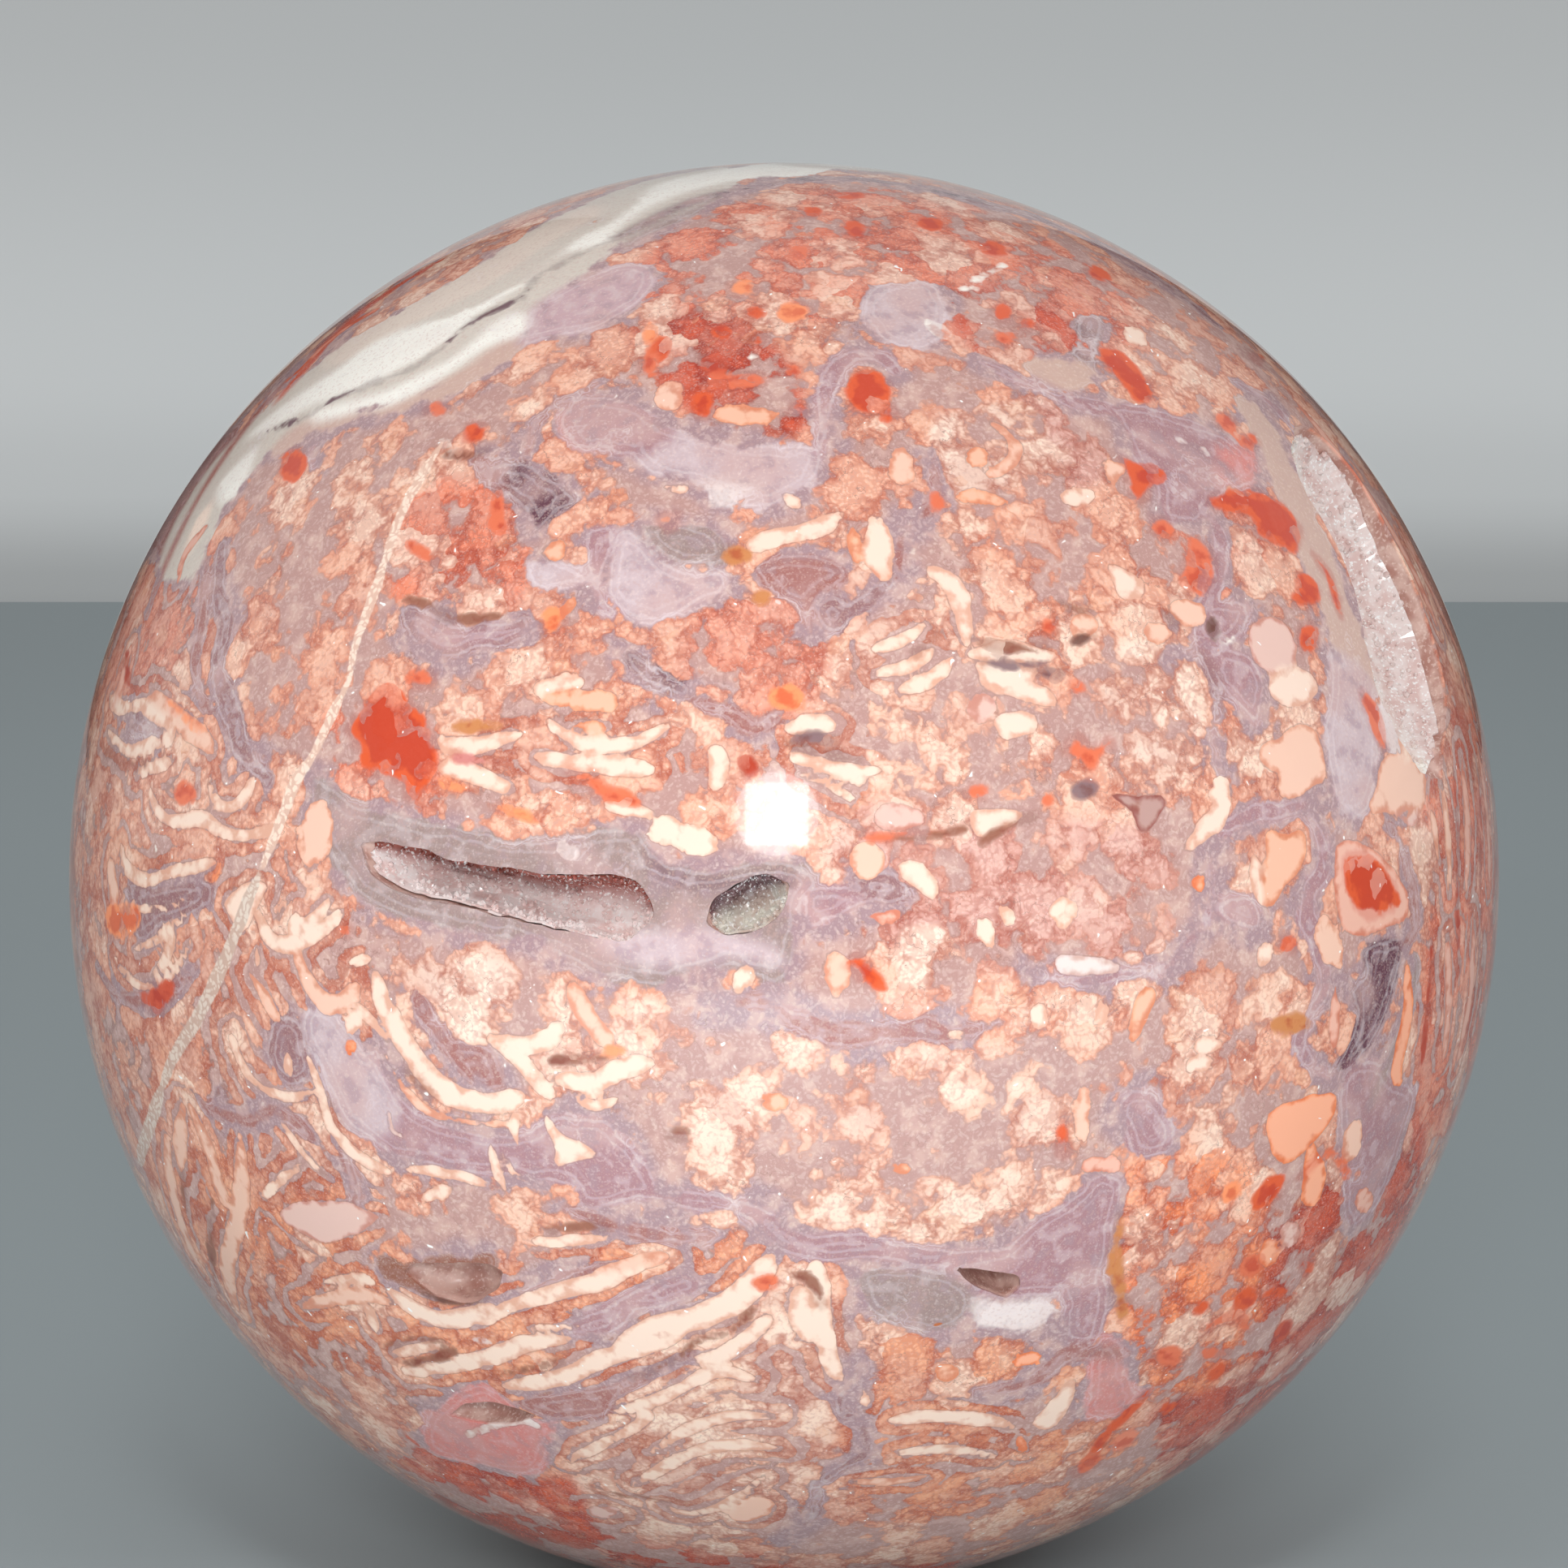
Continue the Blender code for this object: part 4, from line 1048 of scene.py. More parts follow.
class Layer:
    """One layer of markings on the stone's points: how far each point is outside the nearest
    marking's edge, negative inside, and the markings' colour, each laid over the ones before."""

    def __init__(self, places, soft):
        self.places = places
        self.soft = soft
        self.gap = np.full(len(places), REACH)
        self.fray = np.ones(len(places))
        self.weight = np.full(len(places), FAINT * FAINT)
        self.paint = np.tile(colour_of("peach") * FAINT * FAINT, (len(places), 1))

    def near(self, path, margin):
        path = np.array([tuple(p) for p in path])
        middle = path.mean(axis=0)
        far = np.linalg.norm(path - middle, axis=1).max() + margin
        return path, middle, np.nonzero(((self.places - middle) ** 2).sum(axis=1) < far * far)[0]

    def mark(self, chosen, gap, tone, fray):
        closer = gap < self.gap[chosen]
        self.gap[chosen[closer]] = gap[closer]
        self.fray[chosen[closer]] = fray
        share = np.clip(0.5 - gap / (2 * self.soft), 0, 1)
        weight = share + FAINT * np.exp(-3 * gap)
        self.weight[chosen] = self.weight[chosen] * (1 - share) + weight
        self.paint[chosen] = self.paint[chosen] * (1 - share[:, None]) + weight[:, None] * colour_of(tone)

    def colour(self):
        return self.paint / self.weight[:, None]

    def strip(self, tone, half_width, points):
        """A strip along a path, drawn in a little towards its ends."""
        path, _, chosen = self.near(rounded(points, False), half_width + REACH)
        spots = self.places[chosen]
        gap = np.full(len(spots), REACH)
        steps = len(path) - 1
        for i in range(steps):
            ends = [half_width * (0.45 + 0.55 * math.sqrt(math.sin(math.pi * min(max(s, 0), 1)) + 1e-9))
                    for s in (i / steps, (i + 1) / steps)]
            along = path[i + 1] - path[i]
            share = np.clip(((spots - path[i]) @ along) / max(along @ along, 1e-9), 0, 1)
            off = np.linalg.norm(spots - path[i] - share[:, None] * along, axis=1)
            gap = np.minimum(gap, off - ends[0] - (ends[1] - ends[0]) * share)
        self.mark(chosen, gap, tone, STRIP_FRAY)

    def patch_gap(self, points):
        """Signed distance to the outline of a patch, and the stone's points near it."""
        path, middle, chosen = self.near(rounded(points, True), REACH)
        spots = self.places[chosen]
        out = middle / np.linalg.norm(middle)
        east = np.cross(out, (0.3, 0.2, 0.93))
        east /= np.linalg.norm(east)
        north = np.cross(out, east)
        flat = np.stack(((spots - middle) @ east, (spots - middle) @ north), axis=1)
        rim = np.stack(((path - middle) @ east, (path - middle) @ north), axis=1)
        inside = np.zeros(len(spots), bool)
        gap = np.full(len(spots), 99.0)
        for i in range(len(path)):
            j = (i + 1) % len(path)
            along = path[j] - path[i]
            share = np.clip(((spots - path[i]) @ along) / max(along @ along, 1e-9), 0, 1)
            gap = np.minimum(gap, np.linalg.norm(spots - path[i] - share[:, None] * along, axis=1))
            (xa, ya), (xb, yb) = rim[i], rim[j]
            crosses = (ya > flat[:, 1]) != (yb > flat[:, 1])
            if crosses.any():
                where = xa + (flat[:, 1] - ya) * (xb - xa) / (yb - ya if yb != ya else 1e-9)
                inside ^= crosses & (flat[:, 0] < where)
        return chosen, np.where(inside, -gap, gap)

    def patch(self, tone, points, fray=PATCH_FRAY):
        chosen, gap = self.patch_gap(points)
        self.mark(chosen, gap, tone, fray)


places = np.empty(len(stone_mesh.vertices) * 3)
stone_mesh.vertices.foreach_get("co", places)
places = (places.reshape(-1, 3) - np.array(CENTRE)) / MM

ground = np.tile(colour_of("peach"), (len(places), 1))
lumpy = np.full(len(places), 0.8)
layered = np.zeros(len(places))
pools = Layer(places, BLEND)
blooms = Layer(places, SHARP)
stains = Layer(places, SHARP)
cracks = Layer(places, BLEND)

for tone, lumps, soft, outline in FIELDS:
    chosen, gap = pools.patch_gap(laid(outline))
    share = np.clip(0.5 - gap / (2 * soft), 0, 1)
    share = share * share * (3 - 2 * share)
    ground[chosen] += (colour_of(tone) - ground[chosen]) * share[:, None]
    lumpy[chosen] += (lumps - lumpy[chosen]) * share
for outline in LAYERED:
    chosen, gap = pools.patch_gap(laid(outline))
    layered[chosen] = np.maximum(layered[chosen], np.clip(0.5 - gap, 0, 1))
for tone, outline in POOLS:
    pools.patch(tone, laid(outline))
for tone, half_width, path in SEAMS:
    pools.strip(tone, half_width, laid(path))
for layer, rows in ((blooms, STRIPS), (stains, LINES)):
    for tone, strips in rows.items():
        for half_width, path in strips:
            layer.strip(tone, half_width, laid(path))
for layer, rows in ((blooms, OVALS), (stains, SPOTS)):
    for tone, ovals in rows.items():
        for shape in ovals:
            layer.patch(tone, laid(oval(*shape)))
for tone, outline in PLATES:
    blooms.patch(tone, laid(outline), STRIP_FRAY)
for tone, outline in STAIN_OUTLINES:
    stains.patch(tone, laid(outline))
for tone, half_width, path in CRACK:
    cracks.strip(tone, half_width, laid(path))

# The back, the sides past the photograph's edge and the underside carry on in the same manner,
# with markings of the same kinds and sizes in places drawn by lot.
HIDDEN_FROM = -0.12
BACK_SEED = 11
BACK_FIELDS = 60
BACK_LAYERED = 14
BACK_POOLS = 44
BACK_SEAMS = 34
BACK_FLOWERS = 46
BACK_LUMPS = 150
BACK_STAINS = 60
# how far past the outline in mm, half width, tone
CREST_TAIL = [(1.0, 2.4, "glass"), (3.5, 1.9, "glass"), (6.0, 1.4, "grey_beige"), (8.5, 0.9, "beige"),
              (11.0, 0.5, "glass"), (1.5, 0.8, "silver"), (4.5, 0.5, "silver"), (7.0, 0.3, "silver")]

lot = random.Random(BACK_SEED)


def hidden_place():
    """A place on the part of the stone that the photograph doesn't show."""
    while True:
        out = Vector([lot.gauss(0, 1) for _ in range(3)]).normalized()
        if out.dot(toward_camera) < HIDDEN_FROM + 0.22 * lot.random():
            return out


def around(out, east, far_east, far_north):
    """A place on the stone, so many millimetres aside and up from another."""
    north = out.cross(east)
    return (out * RADIUS / MM + east * far_east + north * far_north).normalized() * RADIUS / MM


def aside_of(out):
    """A direction along the stone, drawn by lot."""
    return out.cross(Vector([lot.gauss(0, 1) for _ in range(3)])).normalized()


def blob(out, half_long, half_short, waviness):
    """A wavy closed outline round a place."""
    east = aside_of(out)
    phases = [lot.random() * 6.28 for _ in range(3)]
    points = []
    for k in range(12):
        angle = 2 * math.pi * k / 12
        wave = 1 + waviness * (math.sin(2 * angle + phases[0]) + 0.7 * math.sin(3 * angle + phases[1]))
        points.append(around(out, east, half_long * wave * math.cos(angle), half_short * wave * math.sin(angle)))
    return points


def wander(out, steps, stride, turning):
    """A path that winds over the stone from a place."""
    heading = aside_of(out)
    points = [out * RADIUS / MM]
    for _ in range(steps):
        side = out.cross(heading)
        heading = (heading + side * lot.gauss(0, turning)).normalized()
        out = (out * RADIUS / MM + heading * stride).normalized()
        heading = (heading - out * heading.dot(out)).normalized()
        points.append(out * RADIUS / MM)
    return points


for _ in range(BACK_FIELDS):
    tone = lot.choice(["peach", "salmon", "cream", "pink", "peach_orange", "terracotta", "pale_cream", "coral"])
    outline = blob(hidden_place(), lot.uniform(4, 8), lot.uniform(3, 6), 0.16)
    chosen, gap = pools.patch_gap(outline)
    share = np.clip(0.5 - gap / 1.4, 0, 1)
    ground[chosen] += (colour_of(tone) - ground[chosen]) * share[:, None]
    lumpy[chosen] += (lot.uniform(0.8, 1.25) - lumpy[chosen]) * share
for _ in range(BACK_LAYERED):
    chosen, gap = pools.patch_gap(blob(hidden_place(), lot.uniform(4, 8), lot.uniform(2, 4), 0.16))
    layered[chosen] = np.maximum(layered[chosen], np.clip(0.5 - gap, 0, 1))
for _ in range(BACK_POOLS):
    tone = lot.choice(["lavender", "lavender", "lilac", "purple", "grey_lilac", "mauve", "mauve_pink"])
    pools.patch(tone, blob(hidden_place(), lot.uniform(1.5, 5.0), lot.uniform(0.8, 2.2), 0.2))
for _ in range(BACK_SEAMS):
    tone = lot.choice(["lavender", "purple", "mauve", "lavender", "grey_lilac"])
    pools.strip(tone, lot.uniform(0.3, 0.75), wander(hidden_place(), lot.randint(4, 9), 1.8, 0.35))
for _ in range(BACK_FLOWERS):
    middle = hidden_place()
    petals = lot.randint(3, 6)
    for _ in range(petals):
        tone = lot.choice(["cream", "cream", "peach", "pale_cream", "peach_orange"])
        start = around(middle, aside_of(middle), lot.uniform(0.5, 3.0), 0).normalized()
        blooms.strip(tone, lot.uniform(0.22, 0.5), wander(start, lot.randint(2, 5), 0.9, 0.35))
for _ in range(BACK_LUMPS):
    tone = lot.choice(["cream", "peach", "cream", "peach_orange", "pink", "pale_cream"])
    blooms.patch(tone, blob(hidden_place(), lot.uniform(0.5, 1.5), lot.uniform(0.4, 0.9), 0.12))
for _ in range(BACK_STAINS):
    tone = lot.choice(["red", "terracotta", "orange", "ochre", "red", "brown"])
    stains.patch(tone, blob(hidden_place(), lot.uniform(0.3, 1.2), lot.uniform(0.25, 0.7), 0.15))

# the glassy band along the crest, partly a painted reflection, thins out over the top of the stone
crest_end = Vector(on_stone(985, 204)).normalized()
crest_way = Vector(on_stone(985, 204)) - Vector(on_stone(800, 240))
crest_way = (crest_way - crest_end * crest_way.dot(crest_end)).normalized()
for reach, half_width, tone in CREST_TAIL:
    tail = [around(crest_end, crest_way, reach + k * 1.5, math.sin(reach + k * 1.5) * 0.5) for k in range(3)]
    pools.strip(tone, half_width, tail)


def keep_number(mesh, name, values):
    """Writes one number for each point of a mesh."""
    made = mesh.attributes.new(name, "FLOAT", "POINT")
    made.data.foreach_set("value", np.ascontiguousarray(values, np.float32))


def keep_colour(mesh, name, values):
    """Writes one colour for each point of a mesh."""
    made = mesh.attributes.new(name, "FLOAT_COLOR", "POINT")
    full = np.concatenate((values, np.ones((len(values), 1))), axis=1)
    made.data.foreach_set("color", np.ascontiguousarray(full, np.float32).ravel())


keep_colour(stone_mesh, "ground", ground)
keep_number(stone_mesh, "lumpy", lumpy)
keep_number(stone_mesh, "layered", layered)
for name, layer in (("pool", pools), ("bloom", blooms), ("stain", stains), ("crack", cracks)):
    keep_number(stone_mesh, name + "_gap", layer.gap)
    keep_colour(stone_mesh, name + "_colour", layer.colour())
keep_number(stone_mesh, "bloom_fray", blooms.fray)


# The stone's polish. In the ground, opaque clumps with edges like a cauliflower's stand in a
# dusty mauve matrix. They thin out in the pools, and the markings' edges are lobed the same way.

POLISH = 0.04
BROKEN_WALL_ROUGHNESS = 0.28
QUARTZ_IOR = 1.544
GLOSS = 0.45
LOBE_SIZE = 2.7
KNOB_SIZE = 0.95
GRAIN_SIZE = 0.3
CLUMP_LEVEL = 0.5
BAND_SPACING = 0.42
LAYER_SPACING = 1.0
MATRIX = (0.39, 0.24, 0.26, 1)
ROSY_MATRIX = (0.49, 0.27, 0.24, 1)
OUTLINE = (0.3, 0.15, 0.13, 1)


def mixed(tree, share, first, second, blend="MIX"):
    """The colour output of a Mix node."""
    made = put(tree, "ShaderNodeMix", data_type="RGBA", blend_type=blend)
    for socket, value in ((0, share), (6, first), (7, second)):
        if isinstance(value, bpy.types.NodeSocket):
            tree.links.new(value, made.inputs[socket])
        else:
            made.inputs[socket].default_value = value
    return made.outputs[2]


def ramped(tree, value, start, end, low_value=0.0, high_value=1.0):
    """A number brought smoothly from one range into another."""
    inputs = {"Value": value, "From Min": start, "From Max": end, "To Min": low_value, "To Max": high_value}
    return put(tree, "ShaderNodeMapRange", inputs, interpolation_type="SMOOTHSTEP").outputs[0]


def summed(tree, *terms):
    """The sum of numbers, each with a factor."""
    total = 0.0
    for value, factor in terms:
        made = put(tree, "ShaderNodeMath", {0: value, 1: factor, 2: total}, operation="MULTIPLY_ADD")
        total = made.outputs[0]
    return total


def ridge(tree, value, middle, half_width, strength):
    """A line where a number passes a level."""
    off = reckon(tree, "ABSOLUTE", reckon(tree, "SUBTRACT", value, middle))
    return ramped(tree, off, half_width, 0.0, 0.0, strength)


def speckle(tree, vector, size, detail=2.0):
    """Noise of a grain size in millimetres: its number, and its colour as a vector."""
    made = put(tree, "ShaderNodeTexNoise", {"Vector": vector, "Scale": 1 / size, "Detail": detail})
    return made.outputs[0], made.outputs[1]


def cells(tree, vector, size, feature):
    """A Voronoi node whose cells have a size in millimetres."""
    return put(tree, "ShaderNodeTexVoronoi", {"Vector": vector, "Scale": 1 / size}, feature=feature)


def kept(tree, name):
    """An attribute node of the stone's points."""
    return put(tree, "ShaderNodeAttribute", attribute_name=name)


def agate_material():
    material = bpy.data.materials.new("polished_agate")
    material.use_nodes = True
    tree = material.node_tree
    surface = tree.nodes["Principled BSDF"]
    coordinates = tree.nodes.new("ShaderNodeTexCoord").outputs["Object"]
    place = stretched(tree, coordinates, 1 / MM)

    slow, _ = speckle(tree, place, 3.4, 1.0)
    _, way = speckle(tree, place, 0.8, 1.0)
    fray, _ = speckle(tree, place, 0.9, 3.0)
    fine, _ = speckle(tree, place, 0.16, 1.0)
    sway = stretched(tree, aim(tree, "SUBTRACT", way, (0.5, 0.5, 0.5)), 1.1)
    crumpled = aim(tree, "ADD", place, sway)
    lobes = cells(tree, crumpled, LOBE_SIZE, "F1")
    knobs = cells(tree, crumpled, KNOB_SIZE, "F1")
    grains = cells(tree, crumpled, GRAIN_SIZE, "F1")
    lobe_lot = put(tree, "ShaderNodeSeparateColor", {"Color": lobes.outputs["Color"]}).outputs
    knob_lot = put(tree, "ShaderNodeSeparateColor", {"Color": knobs.outputs["Color"]}).outputs
    grain_lot = put(tree, "ShaderNodeSeparateColor", {"Color": grains.outputs["Color"]}).outputs
    # a heap of round lobes, knobs on them and grains on those; half-way up on the average
    heap = summed(tree, (lobes.outputs["Distance"], -0.8), (knobs.outputs["Distance"], -0.32),
                  (grains.outputs["Distance"], -0.1), (fray, 0.5), (1.0, 0.87))
    lobing = reckon(tree, "SUBTRACT", CLUMP_LEVEL, heap)

    pool_gap = kept(tree, "pool_gap").outputs["Fac"]
    bloom_gap = kept(tree, "bloom_gap").outputs["Fac"]
    bloom_fray = kept(tree, "bloom_fray").outputs["Fac"]
    stain_gap = kept(tree, "stain_gap").outputs["Fac"]
    crack_gap = kept(tree, "crack_gap").outputs["Fac"]
    cover = kept(tree, "lumpy").outputs["Fac"]
    in_layers = kept(tree, "layered").outputs["Fac"]
    pool_push = ramped(tree, pool_gap, -0.7, 0.5, -0.62, 0.0)
    height = summed(tree, (heap, 1.0), (cover, 0.42), (slow, 0.6), (pool_push, 1.0), (1.0, -0.6))
    layer_turn = summed(tree, (bloom_gap, 6.283 / LAYER_SPACING), (fray, 5.0), (slow, 6.0))
    layer = reckon(tree, "SINE", layer_turn)
    layer_height = summed(tree, (layer, 0.16), (heap, 0.35), (pool_push, 1.0), (1.0, CLUMP_LEVEL - 0.1))
    height = summed(tree, (height, reckon(tree, "SUBTRACT", 1.0, in_layers)))
    height = put(tree, "ShaderNodeMath", {0: layer_height, 1: in_layers, 2: height},
                 operation="MULTIPLY_ADD").outputs[0]
    softness = ramped(tree, in_layers, 0.0, 1.0, 0.06, 0.03)
    clump = ramped(tree, height, reckon(tree, "SUBTRACT", CLUMP_LEVEL, softness),
                   reckon(tree, "ADD", CLUMP_LEVEL, softness))

    # the matrix between the clumps, which becomes the pools' chalcedony inside the pools, cloudy,
    # faintly banded along the shore and with pale fringes close round every clump
    in_pool = ramped(tree, summed(tree, (pool_gap, 1.0), (lobing, 1.3)), 0.2, -0.2)
    chalcedony = kept(tree, "pool_colour").outputs["Color"]
    hue = put(tree, "ShaderNodeSeparateColor", {"Color": chalcedony}).outputs
    lilac = ramped(tree, reckon(tree, "SUBTRACT", hue["Green"], hue["Blue"]), 0.05, 0.0, 0.15, 1.0)
    cloudy = mixed(tree, ramped(tree, fray, 0.5, 0.66, 0.0, 0.35), chalcedony, (0.72, 0.58, 0.59, 1))
    cloudy = mixed(tree, ramped(tree, slow, 0.48, 0.66, 0.0, 0.6), cloudy, (0.6, 0.37, 0.35, 1))
    cloudy = mixed(tree, ramped(tree, fray, 0.48, 0.34, 0.0, 0.5), cloudy, (0.38, 0.25, 0.28, 1))
    chalcedony = mixed(tree, lilac, chalcedony, cloudy)
    turn = summed(tree, (pool_gap, 6.283 / BAND_SPACING), (slow, 14.0), (fray, 8.0))
    band = ramped(tree, reckon(tree, "SINE", turn), 0.0, 1.0, 0.0, 0.22)
    band = reckon(tree, "MULTIPLY", reckon(tree, "MULTIPLY", band, lilac), ramped(tree, pool_gap, -1.3, -0.3))
    chalcedony = mixed(tree, band, chalcedony, (0.84, 0.76, 0.78, 1))
    fringe = reckon(tree, "ADD", ridge(tree, height, CLUMP_LEVEL - 0.12, 0.05, 0.35),
                    ridge(tree, height, CLUMP_LEVEL - 0.25, 0.04, 0.2))
    fringe = reckon(tree, "MULTIPLY", fringe, ramped(tree, slow, 0.4, 0.6, 0.25, 1.0))
    chalcedony = mixed(tree, fringe, chalcedony, (0.84, 0.74, 0.78, 1))
    near_pool = ramped(tree, summed(tree, (pool_gap, 1.0), (slow, -1.6)), 0.3, -0.4)
    matrix = mixed(tree, near_pool, ROSY_MATRIX, MATRIX)
    matrix = mixed(tree, ramped(tree, fray, 0.44, 0.64, 0.0, 0.5), matrix, (0.74, 0.48, 0.41, 1))
    matrix = mixed(tree, ramped(tree, grains.outputs["Distance"], 0.5, 0.25, 0.0, 0.28), matrix, (0.8, 0.6, 0.54, 1))
    between = mixed(tree, in_pool, matrix, chalcedony)

    # the clumps: palest at heart, rosy near the edge, each lobe and knob with its own tone
    clump_colour = kept(tree, "ground").outputs["Color"]
    tone_lot = summed(tree, (lobe_lot[0], 0.45), (knob_lot[0], 0.12), (slow, 0.6))
    clump_colour = mixed(tree, ramped(tree, tone_lot, 0.54, 0.84, 0.0, 0.8), clump_colour, (0.95, 0.72, 0.58, 1))
    clump_colour = mixed(tree, ramped(tree, tone_lot, 0.56, 0.3, 0.0, 0.55), clump_colour, (0.66, 0.34, 0.27, 1))
    clump_colour = mixed(tree, ramped(tree, knob_lot[1], 0.94, 0.98, 0.0, 0.35), clump_colour, (0.82, 0.42, 0.25, 1))
    rosy = mixed(tree, 1.0, clump_colour, (0.86, 0.66, 0.6, 1), "MULTIPLY")
    clump_colour = mixed(tree, ramped(tree, height, CLUMP_LEVEL, CLUMP_LEVEL + 0.3), rosy, clump_colour)
    puff = summed(tree, (knobs.outputs["Distance"], 0.45), (lobes.outputs["Distance"], 0.6),
                  (grains.outputs["Distance"], 0.16), (fray, -0.5))
    shaded = mixed(tree, 1.0, clump_colour, (0.7, 0.48, 0.45, 1), "MULTIPLY")
    clump_colour = mixed(tree, ramped(tree, puff, 0.22, 0.6, 0.0, 1.0), clump_colour, shaded)
    crushed = mixed(tree, 1.0, clump_colour, (0.74, 0.5, 0.46, 1), "MULTIPLY")
    grainy = ramped(tree, summed(tree, (grains.outputs["Distance"], 1.0), (slow, 1.1), (fine, 0.6)), 1.2, 1.65, 0.0, 0.55)
    clump_colour = mixed(tree, grainy, clump_colour, crushed)
    colour = mixed(tree, clump, between, clump_colour)
    colour = mixed(tree, ramped(tree, fine, 0.53, 0.7, 0.0, 0.3), colour, (0.6, 0.36, 0.31, 1))
    colour = mixed(tree, ramped(tree, fine, 0.44, 0.3, 0.0, 0.2), colour, (0.9, 0.7, 0.6, 1))
    rim = ridge(tree, height, CLUMP_LEVEL - 0.012, 0.035, 1.0)
    rim = reckon(tree, "MULTIPLY", rim, ramped(tree, in_layers, 0.0, 1.0, 0.28, 0.55))
    rim = reckon(tree, "MULTIPLY", rim, ramped(tree, slow, 0.35, 0.6, 0.4, 1.0))
    colour = mixed(tree, rim, colour, OUTLINE)
    hairline = ridge(tree, fray, 0.47, 0.01, 0.6)
    hairline = reckon(tree, "MULTIPLY", hairline, ramped(tree, summed(tree, (slow, 1.0), (cover, 0.1)), 0.52, 0.66))
    hairline = reckon(tree, "MULTIPLY", hairline, ramped(tree, pool_gap, 0.0, 0.3))
    colour = mixed(tree, hairline, colour, OUTLINE)

    # petals, plates and strips: smooth and pale, shaded to the edge, with a fine dark outline
    bloom_edge = put(tree, "ShaderNodeMath", {0: lobing, 1: bloom_fray, 2: bloom_gap},
                     operation="MULTIPLY_ADD").outputs[0]
    bloom = kept(tree, "bloom_colour").outputs["Color"]
    pale = mixed(tree, 0.25, bloom, (0.95, 0.78, 0.68, 1))
    bloom = mixed(tree, ramped(tree, summed(tree, (bloom_edge, 1.0), (fray, -0.6)), -0.3, -0.6), bloom, pale)
    shaded = mixed(tree, 1.0, bloom, (0.78, 0.54, 0.47, 1), "MULTIPLY")
    shading = ramped(tree, summed(tree, (bloom_edge, 0.9), (fray, -1.0), (knobs.outputs["Distance"], 0.3)),
                     -0.62, -0.28, 0.0, 0.9)
    bloom = mixed(tree, shading, bloom, shaded)
    colour = mixed(tree, ramped(tree, bloom_edge, 0.035, -0.035), colour, bloom)
    outline = ridge(tree, bloom_edge, 0.03, 0.05, 0.45)
    outline = reckon(tree, "MULTIPLY", outline, ramped(tree, fray, 0.38, 0.55, 0.2, 1.0))
    colour = mixed(tree, outline, colour, OUTLINE)

    # stains: ragged, thin at the edge, deeper in the middle, with specks of the ground left bare
    stain_edge = summed(tree, (stain_gap, 1.0), (lobing, 0.75))
    stain_colour = kept(tree, "stain_colour").outputs["Color"]
    halo = ramped(tree, summed(tree, (stain_gap, 1.0), (fray, 0.9)), 0.75, 0.35, 0.0, 0.3)
    colour = mixed(tree, halo, colour, stain_colour, "MULTIPLY")
    deep = mixed(tree, 1.0, stain_colour, (0.78, 0.46, 0.4, 1), "MULTIPLY")
    depth = ramped(tree, summed(tree, (stain_edge, 0.5), (fray, 1.0), (knobs.outputs["Distance"], -0.15)), 0.34, 0.16)
    stained = mixed(tree, depth, stain_colour, deep)
    bare = ramped(tree, knob_lot[2], 0.8, 0.9, 0.0, 0.6)
    stained = mixed(tree, reckon(tree, "MAXIMUM", bare, ramped(tree, stain_edge, -0.2, 0.0, 0.0, 0.5)), stained, colour)
    colour = mixed(tree, ramped(tree, stain_edge, 0.05, -0.06, 0.0, 0.95), colour, stained)

    # the healed crack, a net of pale threads in clear quartz
    crack_edge = summed(tree, (crack_gap, 1.0), (lobing, 0.25))
    crack_colour = kept(tree, "crack_colour").outputs["Color"]
    rosy_quartz = mixed(tree, 1.0, crack_colour, (0.8, 0.66, 0.62, 1), "MULTIPLY")
    threads = mixed(tree, ramped(tree, grains.outputs["Distance"], 0.35, 0.6), crack_colour, rosy_quartz)
    colour = mixed(tree, ramped(tree, crack_edge, 0.05, -0.06, 0.0, 0.9), colour, threads)

    # painted glints: white specks that stand in for the light caught by small quartz crystals, fewer in the pools
    painted_glint = reckon(tree, "MULTIPLY", ramped(tree, grains.outputs["Distance"], 0.3, 0.18),
                   ramped(tree, grain_lot[1], 0.982, 0.988))
    painted_glint = reckon(tree, "MULTIPLY", painted_glint, ramped(tree, pool_gap, -0.3, 0.2, 0.15, 1.0))
    colour = mixed(tree, painted_glint, colour, (0.95, 0.92, 0.9, 1))

    # the walls of the pockets: brown-red chalcedony, broken and unpolished, with pale specks that are painted glints
    from_middle = aim(tree, "SUBTRACT", place, tuple(CENTRE / MM))
    reach = put(tree, "ShaderNodeVectorMath", {0: from_middle}, operation="LENGTH").outputs["Value"]
    sunk = ramped(tree, reach, RADIUS / MM - 0.02, RADIUS / MM - 0.25)
    above_foot = ramped(tree, put(tree, "ShaderNodeSeparateXYZ", {0: place}).outputs["Z"], 0.05, 0.3)
    walled = reckon(tree, "MULTIPLY", sunk, above_foot)
    wall_colour = mixed(tree, ramped(tree, fray, 0.35, 0.65), (0.42, 0.2, 0.16, 1), (0.66, 0.44, 0.38, 1))
    wall_colour = mixed(tree, ramped(tree, fine, 0.55, 0.7, 0.0, 0.6), wall_colour, (0.78, 0.62, 0.56, 1))
    finished = mixed(tree, walled, colour, wall_colour)
    tree.links.new(finished, surface.inputs["Base Color"])
    tree.links.new(ramped(tree, walled, 0.0, 1.0, POLISH, BROKEN_WALL_ROUGHNESS), surface.inputs["Roughness"])
    surface.inputs["IOR"].default_value = QUARTZ_IOR
    surface.inputs["Specular IOR Level"].default_value = GLOSS
    return material


stone_mesh.materials.clear()
stone_mesh.materials.append(agate_material())


